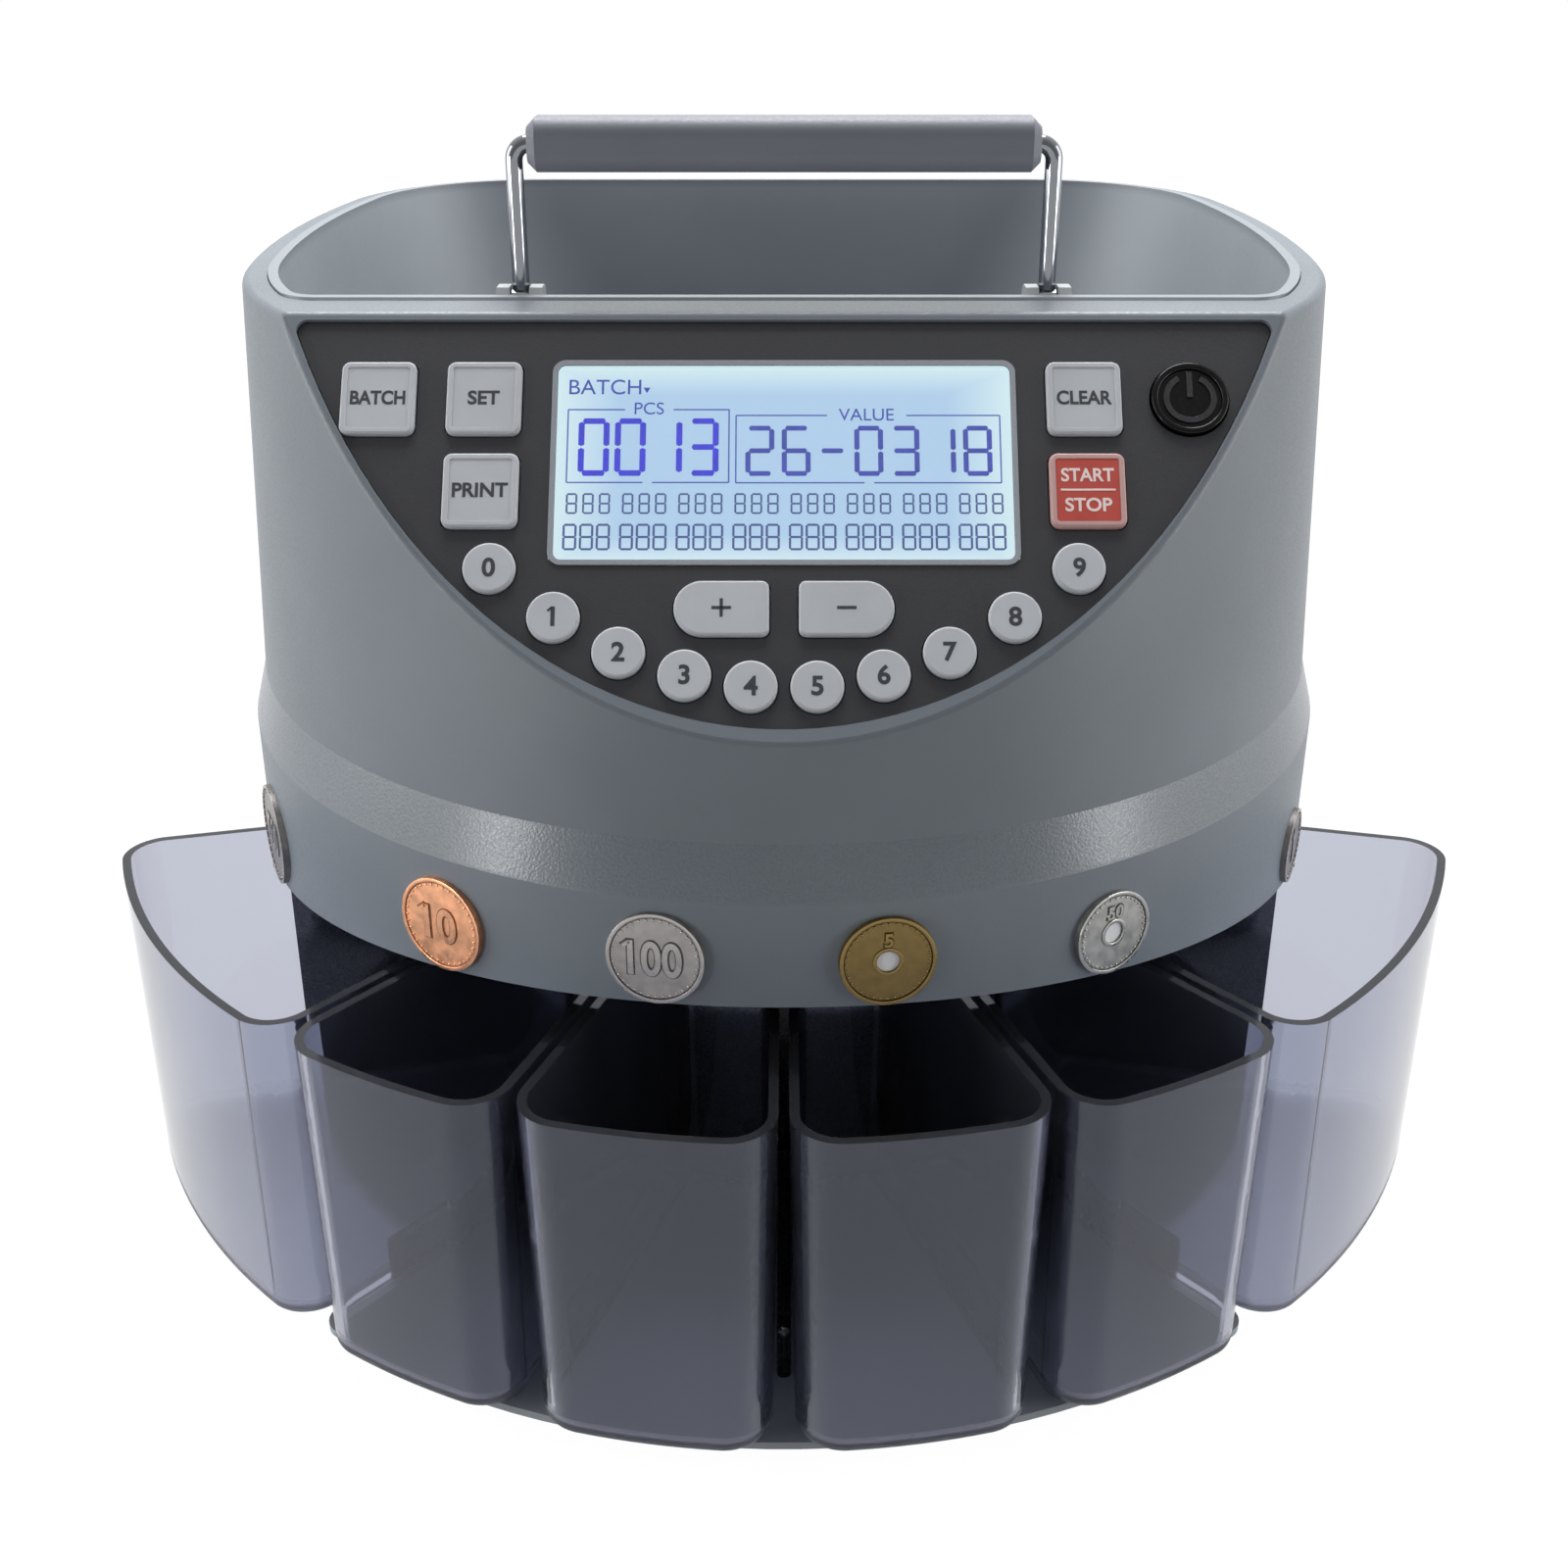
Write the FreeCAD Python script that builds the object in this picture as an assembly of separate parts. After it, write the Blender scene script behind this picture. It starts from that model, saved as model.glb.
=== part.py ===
# A desk-top coin sorting machine: a grey drum with a sloped key panel, a coin hopper inside it and
# a ring of six smoked bins under it. Lengths are in millimetres and angles in degrees.
# The drum's axis is vertical, and the machine faces -Y. An azimuth is counted from the front towards +X.
import FreeCAD
import Part
import math
import os

V = FreeCAD.Vector
UP = V(0, 0, 1)
FAR = 400.0                     # larger than the machine, for cutting blocks

# Stand and bins
FOOT_H = 2.0
FOOT_R = 9.0
FRONT_FOOT_AZ = 32.0
FRONT_FOOT_R = 160.0
REAR_FOOT_AZ = 140.0
REAR_FOOT_R = 125.0
BASE_T = 2.0
BASE_R = 179.8                  # front edge of the base plate, under the four narrow bins
BIN_LIFT = 0.3                  # a bin's running gap over the base plate
BIN_H = 85.3
BIN_R = 185.3                   # outer wall of a bin at its rim
BIN_LEAN = 0.4                  # how much further in that wall stands at its foot
BIN_BACK_R = 87.0
BIN_WALL = 2.2
BIN_FLOOR = 2.4
BIN_CORNER_R = 11.0
BIN_BACK_CORNER_R = 5.0
BIN_FOOT_ROUND = 3.0
BIN_TURN = 19.35                # each of the four narrow bins
END_BIN_TURN = 37.3             # each of the two wide bins at the ends
BIN_GAP_RIM = 1.1               # from the line between two bins to a bin's rim
BIN_GAP_FOOT = 2.6
END_BIN_STEP_CLEAR = 3.0        # the wide bins' walls pass this far under the skirt
END_BIN_STEP_R = 112.0          # inside this radius their walls are low
END_BIN_STEP_TURN = 10.0        # and their outer walls are low over this angle
BASE_END_TURN = 1.0             # the plate's front reaches this angle past them
BASE_CORNER_R = 6.0
GUIDE_W = 3.4                   # dark guides between the bins
GUIDE_H = 14.0
GUIDE_END_IN = 21.0
GUIDE_ROUND = 1.2

# Chassis: the dark rear housing with the column behind the bins
CHASSIS_WALL = 2.5
CHASSIS_TURN = 1.5              # its side walls stand this angle behind the end bins
COLUMN_GAP = 2.5                # from the bins' backs to the column
BOSS_R = 4.0
BOSS_SINK = 0.8                 # the bosses run into the wall by this much
REAR_BOSS_AZ = (100.0, 150.0, 210.0, 260.0)
FRONT_BOSS_AZ = (-40.0, 40.0)
SCREW_R = 1.4
SCREW_L = 10.0
SCREW_HEAD_R = 2.9
SCREW_HEAD_H = 1.8
SCREW_FIT = 0.2
CONNECTOR_FLAT_IN = 6.3         # flat for the connectors, inside the chassis radius
CONNECTOR_FLAT_LOW = 8.0        # above the base plate
CONNECTOR_FLAT_H = 52.0
CONNECTOR_FIT = 0.2
VENT_W = 2.6
VENT_H = 34.0
VENT_END_FLAT = 0.1             # left flat between a slot's end rounds
VENT_LOW = 22.0                 # above the base plate
VENT_AZ = (112.0, 116.0, 120.0, 124.0, 128.0, 132.0, 136.0, 140.0)

# Sort deck and track
DECK_CLEAR = 14.4               # from the bins' rims to the deck
DECK_T = 3.0
TRACK_R = 117.5                 # the coins' outer edges run along this radius
TRACK_RING_W = 6.5
TRACK_RING_H = 4.0
COIN_SIZES = (20.0, 21.0, 22.0, 22.6, 23.5, 26.5)
SLOT_ROOM = 1.0                 # slot width over the coin's diameter
SLOT_LIP = 0.5                  # the slots reach this far under the track ring
SLOT_RUN = 4.5                  # slot length over the coin's diameter
SENSOR_W = 14.0
SENSOR_D = 7.0
SENSOR_H = 6.0
SENSOR_OUT = 6.5                # from the track to a sensor's inner face

# Feed wheel and drive
FEED_GAP = 0.6                  # over the deck
FEED_T = 2.8
FEED_HUB_R = 80.0
FEED_TIP_GAP = 1.0
FINGER_COUNT = 10
FINGER_ROOT_W = 16.0
FINGER_TIP_W = 8.0
CONE_R = 34.0
CONE_TOP_R = 14.0
CONE_H = 8.0
STIR_RIB_COUNT = 3
STIR_RIB_W = 4.0
STIR_RIB_H = 5.0
CAP_R = 12.0
CAP_H = 9.0
CAP_ROUND = 3.0
SHAFT_R = 5.0
SHAFT_IN_CAP = 4.0
RUNNING_FIT = 0.05
BUSH_R = 9.0
BUSH_FLANGE_R = 12.0
BUSH_FLANGE_T = 2.5
PLATE_T = 2.5
PLATE_W = 92.0
PLATE_FRONT = 36.0              # in front of the drum's axis
PLATE_BACK_MARGIN = 26.0        # behind the motor's axis
STANDOFF_L = 19.5
STANDOFF_R = 4.0
STANDOFF_IN = 8.0
GEAR_MODULE = 1.25
GEAR_TEETH = 48
PINION_TEETH = 16
GEAR_W = 8.0
GEAR_LIFT = 3.5                 # over the drive plate
GEAR_BACKLASH = 0.3
GEAR_TIP = 0.85                 # tooth tip over the pitch line, in modules
GEAR_ROOT = 1.25
GEAR_HUB_R = 11.0
GEAR_HUB_GAP = 0.3              # over the lower bush
PRESSURE_ANGLE = 20.0
MOTOR_R = 20.0
MOTOR_L = 42.0
PINION_SHAFT_R = 3.0
PINION_SHAFT_IN = 6.0           # depth of the output shaft in the motor
PINION_PASS = 3.0               # room round that shaft in the drive plate

# Boards and connectors
SUPPLY_W = 96.0
SUPPLY_D = 50.0
SUPPLY_H = 34.0
SUPPLY_Y = 95.0
MAIN_BOARD_X = -92.0
MAIN_BOARD_Y = 38.0
MAIN_BOARD_L = 84.0
MAIN_BOARD_H = 66.0
BOARD_T = 1.6
RELAY_W = 19.0
RELAY_D = 15.0
RELAY_H = 16.0
INLET_X = 18.0
INLET_W = 27.6
INLET_H = 20.0
INLET_D = 15.5
INLET_FLANGE = 2.2
INLET_FLANGE_T = 2.5
SOCKET_W = 22.4
SOCKET_H = 14.6
SOCKET_D = 15.0
SOCKET_CHAMFER = 4.0
BLADE_W = 2.0
BLADE_H = 4.6
BLADE_L = 9.0
BLADE_PITCH = 7.0
PORT_X = -24.0
PORT_W = 19.0
PORT_H = 10.5
PORT_D = 10.0
PORT_FLANGE = 6.0
PORT_FLANGE_T = 1.2
PORT_SHELL_W = 17.0
PORT_SHELL_H = 8.4
PORT_SHELL_L = 4.5

# Drum: the band with its bevel and slanted skirt, and the upper housing
RING_R = 146.0
RING_WALL = 2.4
RING_FIT = 0.3                  # between the skirt and the chassis
RING_FLANGE_W = 8.6
RING_FLANGE_T = 2.4
BAND_H = 17.0                   # from the deck's top to the bevel
BEVEL_H = 13.2
BEVEL_IN = 3.6
SKIRT_FRONT_DROP = 8.5          # the skirt's edge below the deck's top, at the front
SKIRT_REAR_DROP = 31.4          # and from the axis to the back
UPPER_H = 100.8
UPPER_WALL = 2.6
RIM_R = 137.0
RIM_W = 6.0
RIM_T = 3.0
RIM_ROUND = 2.0
SIDE_AZ = 83.6                  # the rim is an arc about the axis up to here,
SIDE_R = 400.0                  # then a flatter one along each side
BACK_CORNER_AZ = 100.2          # and a rounded corner to the straight back
LAP_H = 7.0                     # the upper housing's lip inside the band
LAP_FIT = 0.25
LAP_WALL = 2.4
LABEL_AZ = (66.0, 31.1, 9.0, -11.2, -32.7, -66.0)
LABEL_HOLED = (1, 2)            # the second and third coin sizes have a hole
LABEL_HOLE_R = 2.6
LABEL_T = 0.9
LABEL_MARGIN = 0.5

# Sloped front: the panel's sizes lie in its plane
PANEL_TILT = 39.5               # from the vertical
FRONT_H = 77.85                 # height of the sloped front
PANEL_SINK = 1.0                # the black panel's face below the grey border
PANEL_T = 2.5
PANEL_FIT = 0.2
PANEL_TOP_BORDER = 1.9
PANEL_FOOT_BORDER = 3.4
PANEL_NARROWING = 15.0          # the panel's curve against the drum's own section, across
PANEL_FLATTENING = 42.3         # and along the slope
PANEL_CORNER_R = 2.5
PANEL_CORNER_LEAST = 0.8        # on outlines that lie well inside the panel's
LEDGE_W = 1.2
LEDGE_T = 2.0
KEY_PROUD = 1.4
KEY_ROUND = 0.6
KEY_BORDER = 1.3                # raised edge round a square key's face
KEY_DISH = 0.2
KEY_DISH_ROUND = 0.15
KEY_FIT = 0.35
KEY_FLANGE = 0.6
KEY_FLANGE_T = 0.8
KEY_FLANGE_GAP = 0.3
KEY_TRAVEL = 1.2
KEY_SLACK = 0.15
SQUARE_KEY_SHARE = 0.13378      # widths and columns as shares of the panel's half width
SQUARE_KEY_H = 17.4
SQUARE_KEY_CORNER = 2.0
KEY_COLUMN_SHARE = 0.53592      # the columns beside the display
FAR_COLUMN_SHARE = 0.72531
KEY_ROW = 21.0                  # below the sloped front's top edge
KEY_ROW_PITCH = 22.0
POWER_KEY_SHARE = 0.06931
POWER_RING_W = 1.6
POWER_DISH = 0.8
DIGIT_KEY_R = 5.75
DIGIT_PITCH = 14.2
DIGIT_MIDDLE = 4.5              # the row's middle, between the keys 4 and 5
DIGIT_ROW_FOOT = 9.3            # from the panel's foot to the lowest digit keys
DIGIT_ROW_RISE = 13.6           # the digit row curves up more than the panel's edge
STEP_KEY_W = 20.6
STEP_KEY_H = 12.5
STEP_KEY_CORNER = 1.6
STEP_KEY_X = 13.5
STEP_KEY_ROW = 70.3
LCD_SHARE = 0.83008
LCD_H = 48.6
LCD_FRAME = 1.15
LCD_CORNER_R = 3.0
LCD_ROW = 35.8
LCD_FIT = 0.15
LCD_PROUD = 0.4
LCD_LENS_GAP = 0.1
LCD_MODULE_EDGE = 1.2           # the module is larger than the window by this much
LCD_MODULE_T = 5.5
SWITCH_R = 3.0
SWITCH_H = 0.85
KEY_BOARD_IN = 3.0
KEY_BOARD_GAP = 0.6             # round the display module
POST_R = 2.0
POST_SIDE_SHARE = 0.65278       # the panel's posts, across
POST_TOP_SHARE = 0.77366
POST_FOOT_V = -70.3             # and along the slope
POST_SIDE_V = -43.0
POST_TOP_V = -7.3

# Hopper tub
TUB_FIT = 0.25
TUB_WALL = 2.5
TUB_PROUD = 0.6
TUB_CORNER_R = 8.0
TUB_SEAT = 4.5                  # the tub's foot reaches this far over the track ring
TUB_BACK_CLEAR = 1.5            # behind the display module

# Handle
PIVOT_DROP = 2.5                # below the drum's rim
PIVOT_BACK = 7.2                # behind the tub's front wall
HANDLE_X = 61.6
HANDLE_H = 36.1                 # from the pivot to the middle of the grip
WIRE_R = 2.0
WIRE_BEND_R = 3.5
EYE_R = 3.7
PIN_R = 1.5
GRIP_W = 13.0
GRIP_H = 12.0
GRIP_ROUND = 4.4
GRIP_END_ROUND = 2.0
EAR_T = 3.0
EAR_GAP = 0.3
EAR_R = 4.5
EAR_ROUND = 3.6
CLIP_WEB_T = 1.4
CLIP_LOW = 5.5                  # below the pivot

# Heights and places that follow from the sizes above
BASE_TOP = FOOT_H + BASE_T
BIN_FOOT_Z = BASE_TOP + BIN_LIFT
BIN_RIM_Z = BIN_FOOT_Z + BIN_H
DECK_Z = BIN_RIM_Z + DECK_CLEAR
DECK_TOP = DECK_Z + DECK_T
BEVEL_Z = DECK_TOP + BAND_H
CREASE_Z = BEVEL_Z + BEVEL_H
CREASE_R = RING_R - BEVEL_IN
RIM_Z = CREASE_Z + UPPER_H
CHASSIS_R = RING_R - RING_WALL - RING_FIT
COLUMN_R = BIN_BACK_R - COLUMN_GAP
END_BIN_AZ = 2 * BIN_TURN + END_BIN_TURN
CHASSIS_AZ = END_BIN_AZ + CHASSIS_TURN
CORNER_R = BIN_R - BIN_CORNER_R
FRONT_REACH = BIN_CORNER_R + math.sqrt(CORNER_R ** 2 - (BIN_GAP_RIM + BIN_CORNER_R) ** 2)
AXIS_Y = (FRONT_REACH - RING_R) / 2     # the drum's axis in the finished frame
BIN_EDGES = (-END_BIN_AZ, -2 * BIN_TURN, -BIN_TURN, 0.0, BIN_TURN, 2 * BIN_TURN, END_BIN_AZ)
BIN_NAMES = ("coin_bin_6", "coin_bin_5", "coin_bin_4", "coin_bin_3", "coin_bin_2", "coin_bin_1")
PLATE_TOP = DECK_Z - STANDOFF_L
PLATE_Z = PLATE_TOP - PLATE_T
GEAR_Z = PLATE_TOP + GEAR_LIFT
GEAR_CENTRES = GEAR_MODULE * (GEAR_TEETH + PINION_TEETH) / 2
FEED_Z = DECK_TOP + FEED_GAP
FEED_TOP = FEED_Z + FEED_T
CONE_TOP = FEED_TOP + CONE_H
TRACK_TOP = DECK_TOP + TRACK_RING_H
FLAT_Y = CHASSIS_R - CONNECTOR_FLAT_IN
FLAT_LOW = BASE_TOP + CONNECTOR_FLAT_LOW
FLAT_HIGH = FLAT_LOW + CONNECTOR_FLAT_H
CONNECTOR_Z = (FLAT_LOW + FLAT_HIGH) / 2

PANEL_SLOPE = math.tan(math.radians(PANEL_TILT))
DRUM_TAPER = (CREASE_R - RIM_R) / UPPER_H
SIDE_ANGLE = math.radians(SIDE_AZ)
BACK_ANGLE = math.radians(BACK_CORNER_AZ)
SIDE_X = (RIM_R - SIDE_R) * math.sin(SIDE_ANGLE)
SIDE_Y = (SIDE_R - RIM_R) * math.cos(SIDE_ANGLE)
BACK_CORNER_R = (RING_R - SIDE_Y + SIDE_R * math.cos(BACK_ANGLE)) / (1 + math.cos(BACK_ANGLE))
BACK_X = SIDE_X + (SIDE_R - BACK_CORNER_R) * math.sin(BACK_ANGLE)
BACK_Y = RING_R - BACK_CORNER_R
PANEL_TOP_Y = FRONT_H * (PANEL_SLOPE - DRUM_TAPER) - RIM_R
SECTION_A = RIM_R + DRUM_TAPER * FRONT_H / 2
SECTION_B = SECTION_A / math.sin(math.radians(PANEL_TILT))
PANEL_A = SECTION_A - PANEL_NARROWING
PANEL_B = SECTION_B - PANEL_FLATTENING
SQUARE_KEY_W = SQUARE_KEY_SHARE * PANEL_A
KEY_COLUMN = KEY_COLUMN_SHARE * PANEL_A
FAR_COLUMN = FAR_COLUMN_SHARE * PANEL_A
POWER_KEY_R = POWER_KEY_SHARE * PANEL_A
LCD_W = LCD_SHARE * PANEL_A
POST_SIDE = POST_SIDE_SHARE * PANEL_A
POST_TOP = POST_TOP_SHARE * PANEL_A
POST_PLACES = ((0.0, POST_FOOT_V), (-POST_SIDE, POST_SIDE_V), (POST_SIDE, POST_SIDE_V),
               (-POST_TOP, POST_TOP_V), (POST_TOP, POST_TOP_V))
PANEL_FOOT_V = PANEL_FOOT_BORDER - FRONT_H / math.cos(math.radians(PANEL_TILT))
PANEL_FACE = -PANEL_SINK
PANEL_BACK = PANEL_FACE - PANEL_T
KEY_FOOT = PANEL_BACK - KEY_FLANGE_GAP - KEY_FLANGE_T
SWITCH_TOP = KEY_FOOT - KEY_TRAVEL - KEY_SLACK
KEY_BOARD_FACE = SWITCH_TOP - SWITCH_H
TUB_SET = LCD_MODULE_T - PANEL_BACK + TUB_BACK_CLEAR
TUB_TOP_Z = RIM_Z + TUB_PROUD
TUB_FOOT_R = TRACK_R + TUB_SEAT
PANEL_FRAME = FreeCAD.Placement(V(0, PANEL_TOP_Y, RIM_Z), FreeCAD.Rotation(V(1, 0, 0), 90 - PANEL_TILT))
TUB_FRONT_SET = (TUB_SET + TUB_WALL) / math.cos(math.radians(PANEL_TILT))
PIVOT_Z = RIM_Z - PIVOT_DROP
PIVOT_Y = PANEL_TOP_Y + TUB_FRONT_SET - PANEL_SLOPE * PIVOT_DROP + PIVOT_BACK


# Plain solids

def cylinder(radius, z_low, z_high, x=0.0, y=0.0):
    return Part.makeCylinder(radius, z_high - z_low, V(x, y, z_low), UP)


def tube(outer, inner, z_low, z_high, x=0.0, y=0.0):
    return cylinder(outer, z_low, z_high, x, y).cut(cylinder(inner, z_low, z_high, x, y))


def frustum(r_low, r_high, z_low, z_high):
    return Part.makeCone(r_low, r_high, z_high - z_low, V(0, 0, z_low), UP)


def box(x_low, x_high, y_low, y_high, z_low, z_high):
    return Part.makeBox(x_high - x_low, y_high - y_low, z_high - z_low, V(x_low, y_low, z_low))


def prism(points, axis):
    """Extrude a closed outline of points along a vector."""
    wire = Part.makePolygon([V(*p) for p in points] + [V(*points[0])])
    return Part.Face(wire).extrude(V(*axis))


def revolved(outline):
    """Turn an outline of (radius, height) points about the drum's axis."""
    wire = Part.makePolygon([V(r, 0, z) for r, z in outline] + [V(outline[0][0], 0, outline[0][1])])
    return Part.Face(wire).revolve(V(0, 0, 0), UP, 360)


def turned(shape, az):
    """Turn a shape that was made at the front to an azimuth."""
    copy = shape.copy()
    copy.rotate(V(0, 0, 0), UP, az)
    return copy


def polar(radius, az):
    angle = math.radians(az)
    return V(radius * math.sin(angle), -radius * math.cos(angle), 0)


def wedge(radius, z_low, z_high, az_low, az_high):
    """A sector of a disc between two azimuths."""
    sector = Part.makeCylinder(radius, z_high - z_low, V(0, 0, z_low), UP, az_high - az_low)
    return turned(sector, az_low - 90)


def upright_edges(shape, near=None):
    """Edges that run up a shape, as the corners of a bin or a key do."""
    found = []
    for edge in shape.Edges:
        ends = edge.Vertexes
        if len(ends) == 2 and abs(ends[0].Z - ends[1].Z) > shape.BoundBox.ZLength / 2:
            if near is None or near(ends[0].Point):
                found.append(edge)
    return found


def level_edges(shape, z):
    """Edges that lie at one height."""
    return [e for e in shape.Edges if abs(e.BoundBox.ZMin - z) < 1e-4 and abs(e.BoundBox.ZMax - z) < 1e-4]


def joined(shapes):
    whole = shapes[0]
    if len(shapes) > 1:
        whole = whole.multiFuse(shapes[1:])
    return whole.removeSplitter()


# Sloped front: shapes drawn flat, with x across, y up the slope and z out of the panel

def on_panel(shape):
    copy = shape.copy()
    copy.Placement = PANEL_FRAME.multiply(copy.Placement)
    return copy


def in_front_of_panel(depth):
    """Everything in front of a plane that lies a depth behind the sloped front."""
    return on_panel(box(-FAR, FAR, -FAR, FAR, -depth, FAR))


def panel_blank(grow, w_low, w_high):
    """The black panel's outline, larger or smaller all round."""
    centre = PANEL_FOOT_V + PANEL_B
    half_across = PANEL_A + grow
    half_along = PANEL_B + grow
    middle = V(0, centre, w_low)
    curve = Part.Ellipse(V(0, centre + half_along, w_low), V(half_across, centre, w_low), middle)
    oval = Part.Face(Part.Wire(curve.toShape())).extrude(V(0, 0, w_high - w_low))
    top = grow - PANEL_TOP_BORDER
    blank = oval.common(box(-FAR, FAR, -FAR, top, w_low - 1, w_high + 1))
    corner_r = max(PANEL_CORNER_R + grow, PANEL_CORNER_LEAST)
    return blank.makeFillet(corner_r, upright_edges(blank))


def square_key(u, v):
    def outline(grow, w_low, w_high):
        half_w = SQUARE_KEY_W / 2 + grow
        half_h = SQUARE_KEY_H / 2 + grow
        blank = box(u - half_w, u + half_w, v - half_h, v + half_h, w_low, w_high)
        return blank.makeFillet(SQUARE_KEY_CORNER + grow, upright_edges(blank))
    return outline


def round_key(u, v, radius):
    def outline(grow, w_low, w_high):
        return cylinder(radius + grow, w_low, w_high, u, v)
    return outline


def step_key(u, v, side):
    """A key whose outer end is a half circle."""
    def outline(grow, w_low, w_high):
        half_w = STEP_KEY_W / 2 + grow
        half_h = STEP_KEY_H / 2 + grow
        end = u + side * (half_w - half_h)
        inner = u - side * half_w
        blank = box(min(end, inner), max(end, inner), v - half_h, v + half_h, w_low, w_high)
        corners = upright_edges(blank, lambda p: abs(p.x - inner) < 1e-6)
        blank = blank.makeFillet(STEP_KEY_CORNER + grow, corners)
        return joined([blank, cylinder(half_h, w_low, w_high, end, v)])
    return outline


def digit_place(digit):
    u = (digit - DIGIT_MIDDLE) * DIGIT_PITCH
    rise = (PANEL_B + DIGIT_ROW_RISE) * (1 - math.sqrt(1 - (u / PANEL_A) ** 2))
    return u, PANEL_FOOT_V + DIGIT_ROW_FOOT + rise


KEYS = {
    "key_batch": square_key(-FAR_COLUMN, -KEY_ROW),
    "key_set": square_key(-KEY_COLUMN, -KEY_ROW),
    "key_print": square_key(-KEY_COLUMN, -KEY_ROW - KEY_ROW_PITCH),
    "key_clear": square_key(KEY_COLUMN, -KEY_ROW),
    "key_start_stop": square_key(KEY_COLUMN, -KEY_ROW - KEY_ROW_PITCH),
    "key_power": round_key(FAR_COLUMN, -KEY_ROW, POWER_KEY_R),
    "key_plus": step_key(-STEP_KEY_X, -STEP_KEY_ROW, -1),
    "key_minus": step_key(STEP_KEY_X, -STEP_KEY_ROW, 1),
}
SQUARE_KEYS = ("key_batch", "key_set", "key_print", "key_clear", "key_start_stop")
for number in range(10):
    KEYS["key_digit_%d" % number] = round_key(*digit_place(number), DIGIT_KEY_R)


def key(name):
    """A key cap that passes through the panel, with a flange behind it that keeps it in."""
    outline = KEYS[name]
    cap_top = PANEL_FACE + KEY_PROUD
    cap = outline(0.0, KEY_FOOT, cap_top)
    if name == "key_power":
        u, v = FAR_COLUMN, -KEY_ROW
        cap = cap.cut(cylinder(POWER_KEY_R - POWER_RING_W, cap_top - POWER_DISH, cap_top + 1, u, v))
    cap = cap.makeFillet(KEY_ROUND, level_edges(cap, cap_top))
    if name in SQUARE_KEYS:
        cap = cap.cut(outline(-KEY_BORDER, cap_top - KEY_DISH, cap_top + 1))
        cap = cap.makeFillet(KEY_DISH_ROUND, level_edges(cap, cap_top - KEY_DISH))
    flange = outline(KEY_FLANGE, KEY_FOOT, KEY_FOOT + KEY_FLANGE_T)
    return on_panel(joined([cap, flange]))


def lcd_block(grow, w_low, w_high):
    half_w = LCD_W / 2 + grow
    half_h = LCD_H / 2 + grow
    block = box(-half_w, half_w, -LCD_ROW - half_h, -LCD_ROW + half_h, w_low, w_high)
    return block.makeFillet(LCD_CORNER_R + grow, upright_edges(block))


def control_panel():
    plate = panel_blank(-PANEL_FIT, PANEL_BACK, PANEL_FACE)
    holes = [outline(KEY_FIT, PANEL_BACK - 1, PANEL_FACE + 1) for outline in KEYS.values()]
    holes.append(lcd_block(LCD_FIT, PANEL_BACK - 1, PANEL_FACE + 1))
    plate = plate.cut(Part.makeCompound(holes))
    posts = [cylinder(POST_R, KEY_BOARD_FACE, PANEL_BACK, u, v) for u, v in POST_PLACES]
    return on_panel(joined([plate] + posts))


def lcd_bezel():
    frame = lcd_block(0.0, PANEL_BACK, PANEL_FACE + LCD_PROUD)
    return on_panel(frame.cut(lcd_block(-LCD_FRAME, PANEL_BACK - 1, PANEL_FACE + 1)))


def lcd_lens():
    return on_panel(lcd_block(-LCD_FRAME - LCD_LENS_GAP, PANEL_BACK + LCD_LENS_GAP, PANEL_FACE))


def lcd_module():
    return on_panel(lcd_block(LCD_MODULE_EDGE, PANEL_BACK - LCD_MODULE_T, PANEL_BACK))


def key_board():
    back = KEY_BOARD_FACE - BOARD_T
    board = panel_blank(-KEY_BOARD_IN, back, KEY_BOARD_FACE)
    return on_panel(board.cut(lcd_block(LCD_MODULE_EDGE + KEY_BOARD_GAP, back - 1, KEY_BOARD_FACE + 1)))


def dome_switches():
    domes = []
    for outline in KEYS.values():
        middle = outline(0.0, 0.0, 1.0).BoundBox.Center
        domes.append(cylinder(SWITCH_R, KEY_BOARD_FACE, SWITCH_TOP, middle.x, middle.y))
    return on_panel(Part.makeCompound(domes))


# Hopper and drum

def arc(x, y, radius, az_low, az_high, z):
    """An arc at one height, between two azimuths of its own centre."""
    points = [V(x, y, z) + polar(radius, az) for az in (az_low, (az_low + az_high) / 2, az_high)]
    return Part.Arc(*points).toShape()


def back_arcs(share, round_r, inset, z):
    """The drum's back at one height: some share of the way from a circle to the rim's outline."""
    side_r = (1 - share) * round_r + share * (SIDE_R - inset)
    corner_r = (1 - share) * round_r + share * (BACK_CORNER_R - inset)
    side_x, side_y = share * SIDE_X, share * SIDE_Y
    back_x, back_y = share * BACK_X, share * BACK_Y
    return [arc(side_x, side_y, side_r, SIDE_AZ, BACK_CORNER_AZ, z),
            arc(back_x, back_y, corner_r, BACK_CORNER_AZ, 180, z),
            arc(-back_x, back_y, corner_r, 180, 360 - BACK_CORNER_AZ, z),
            arc(-side_x, side_y, side_r, 360 - BACK_CORNER_AZ, 360 - SIDE_AZ, z)]


def outline_face(points):
    """A flat face round points, of which neighbours may be the same."""
    kept = [p for i, p in enumerate(points) if (p - points[i - 1]).Length > 1e-6]
    return Part.Face(Part.makePolygon(kept + kept[:1]))


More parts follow.
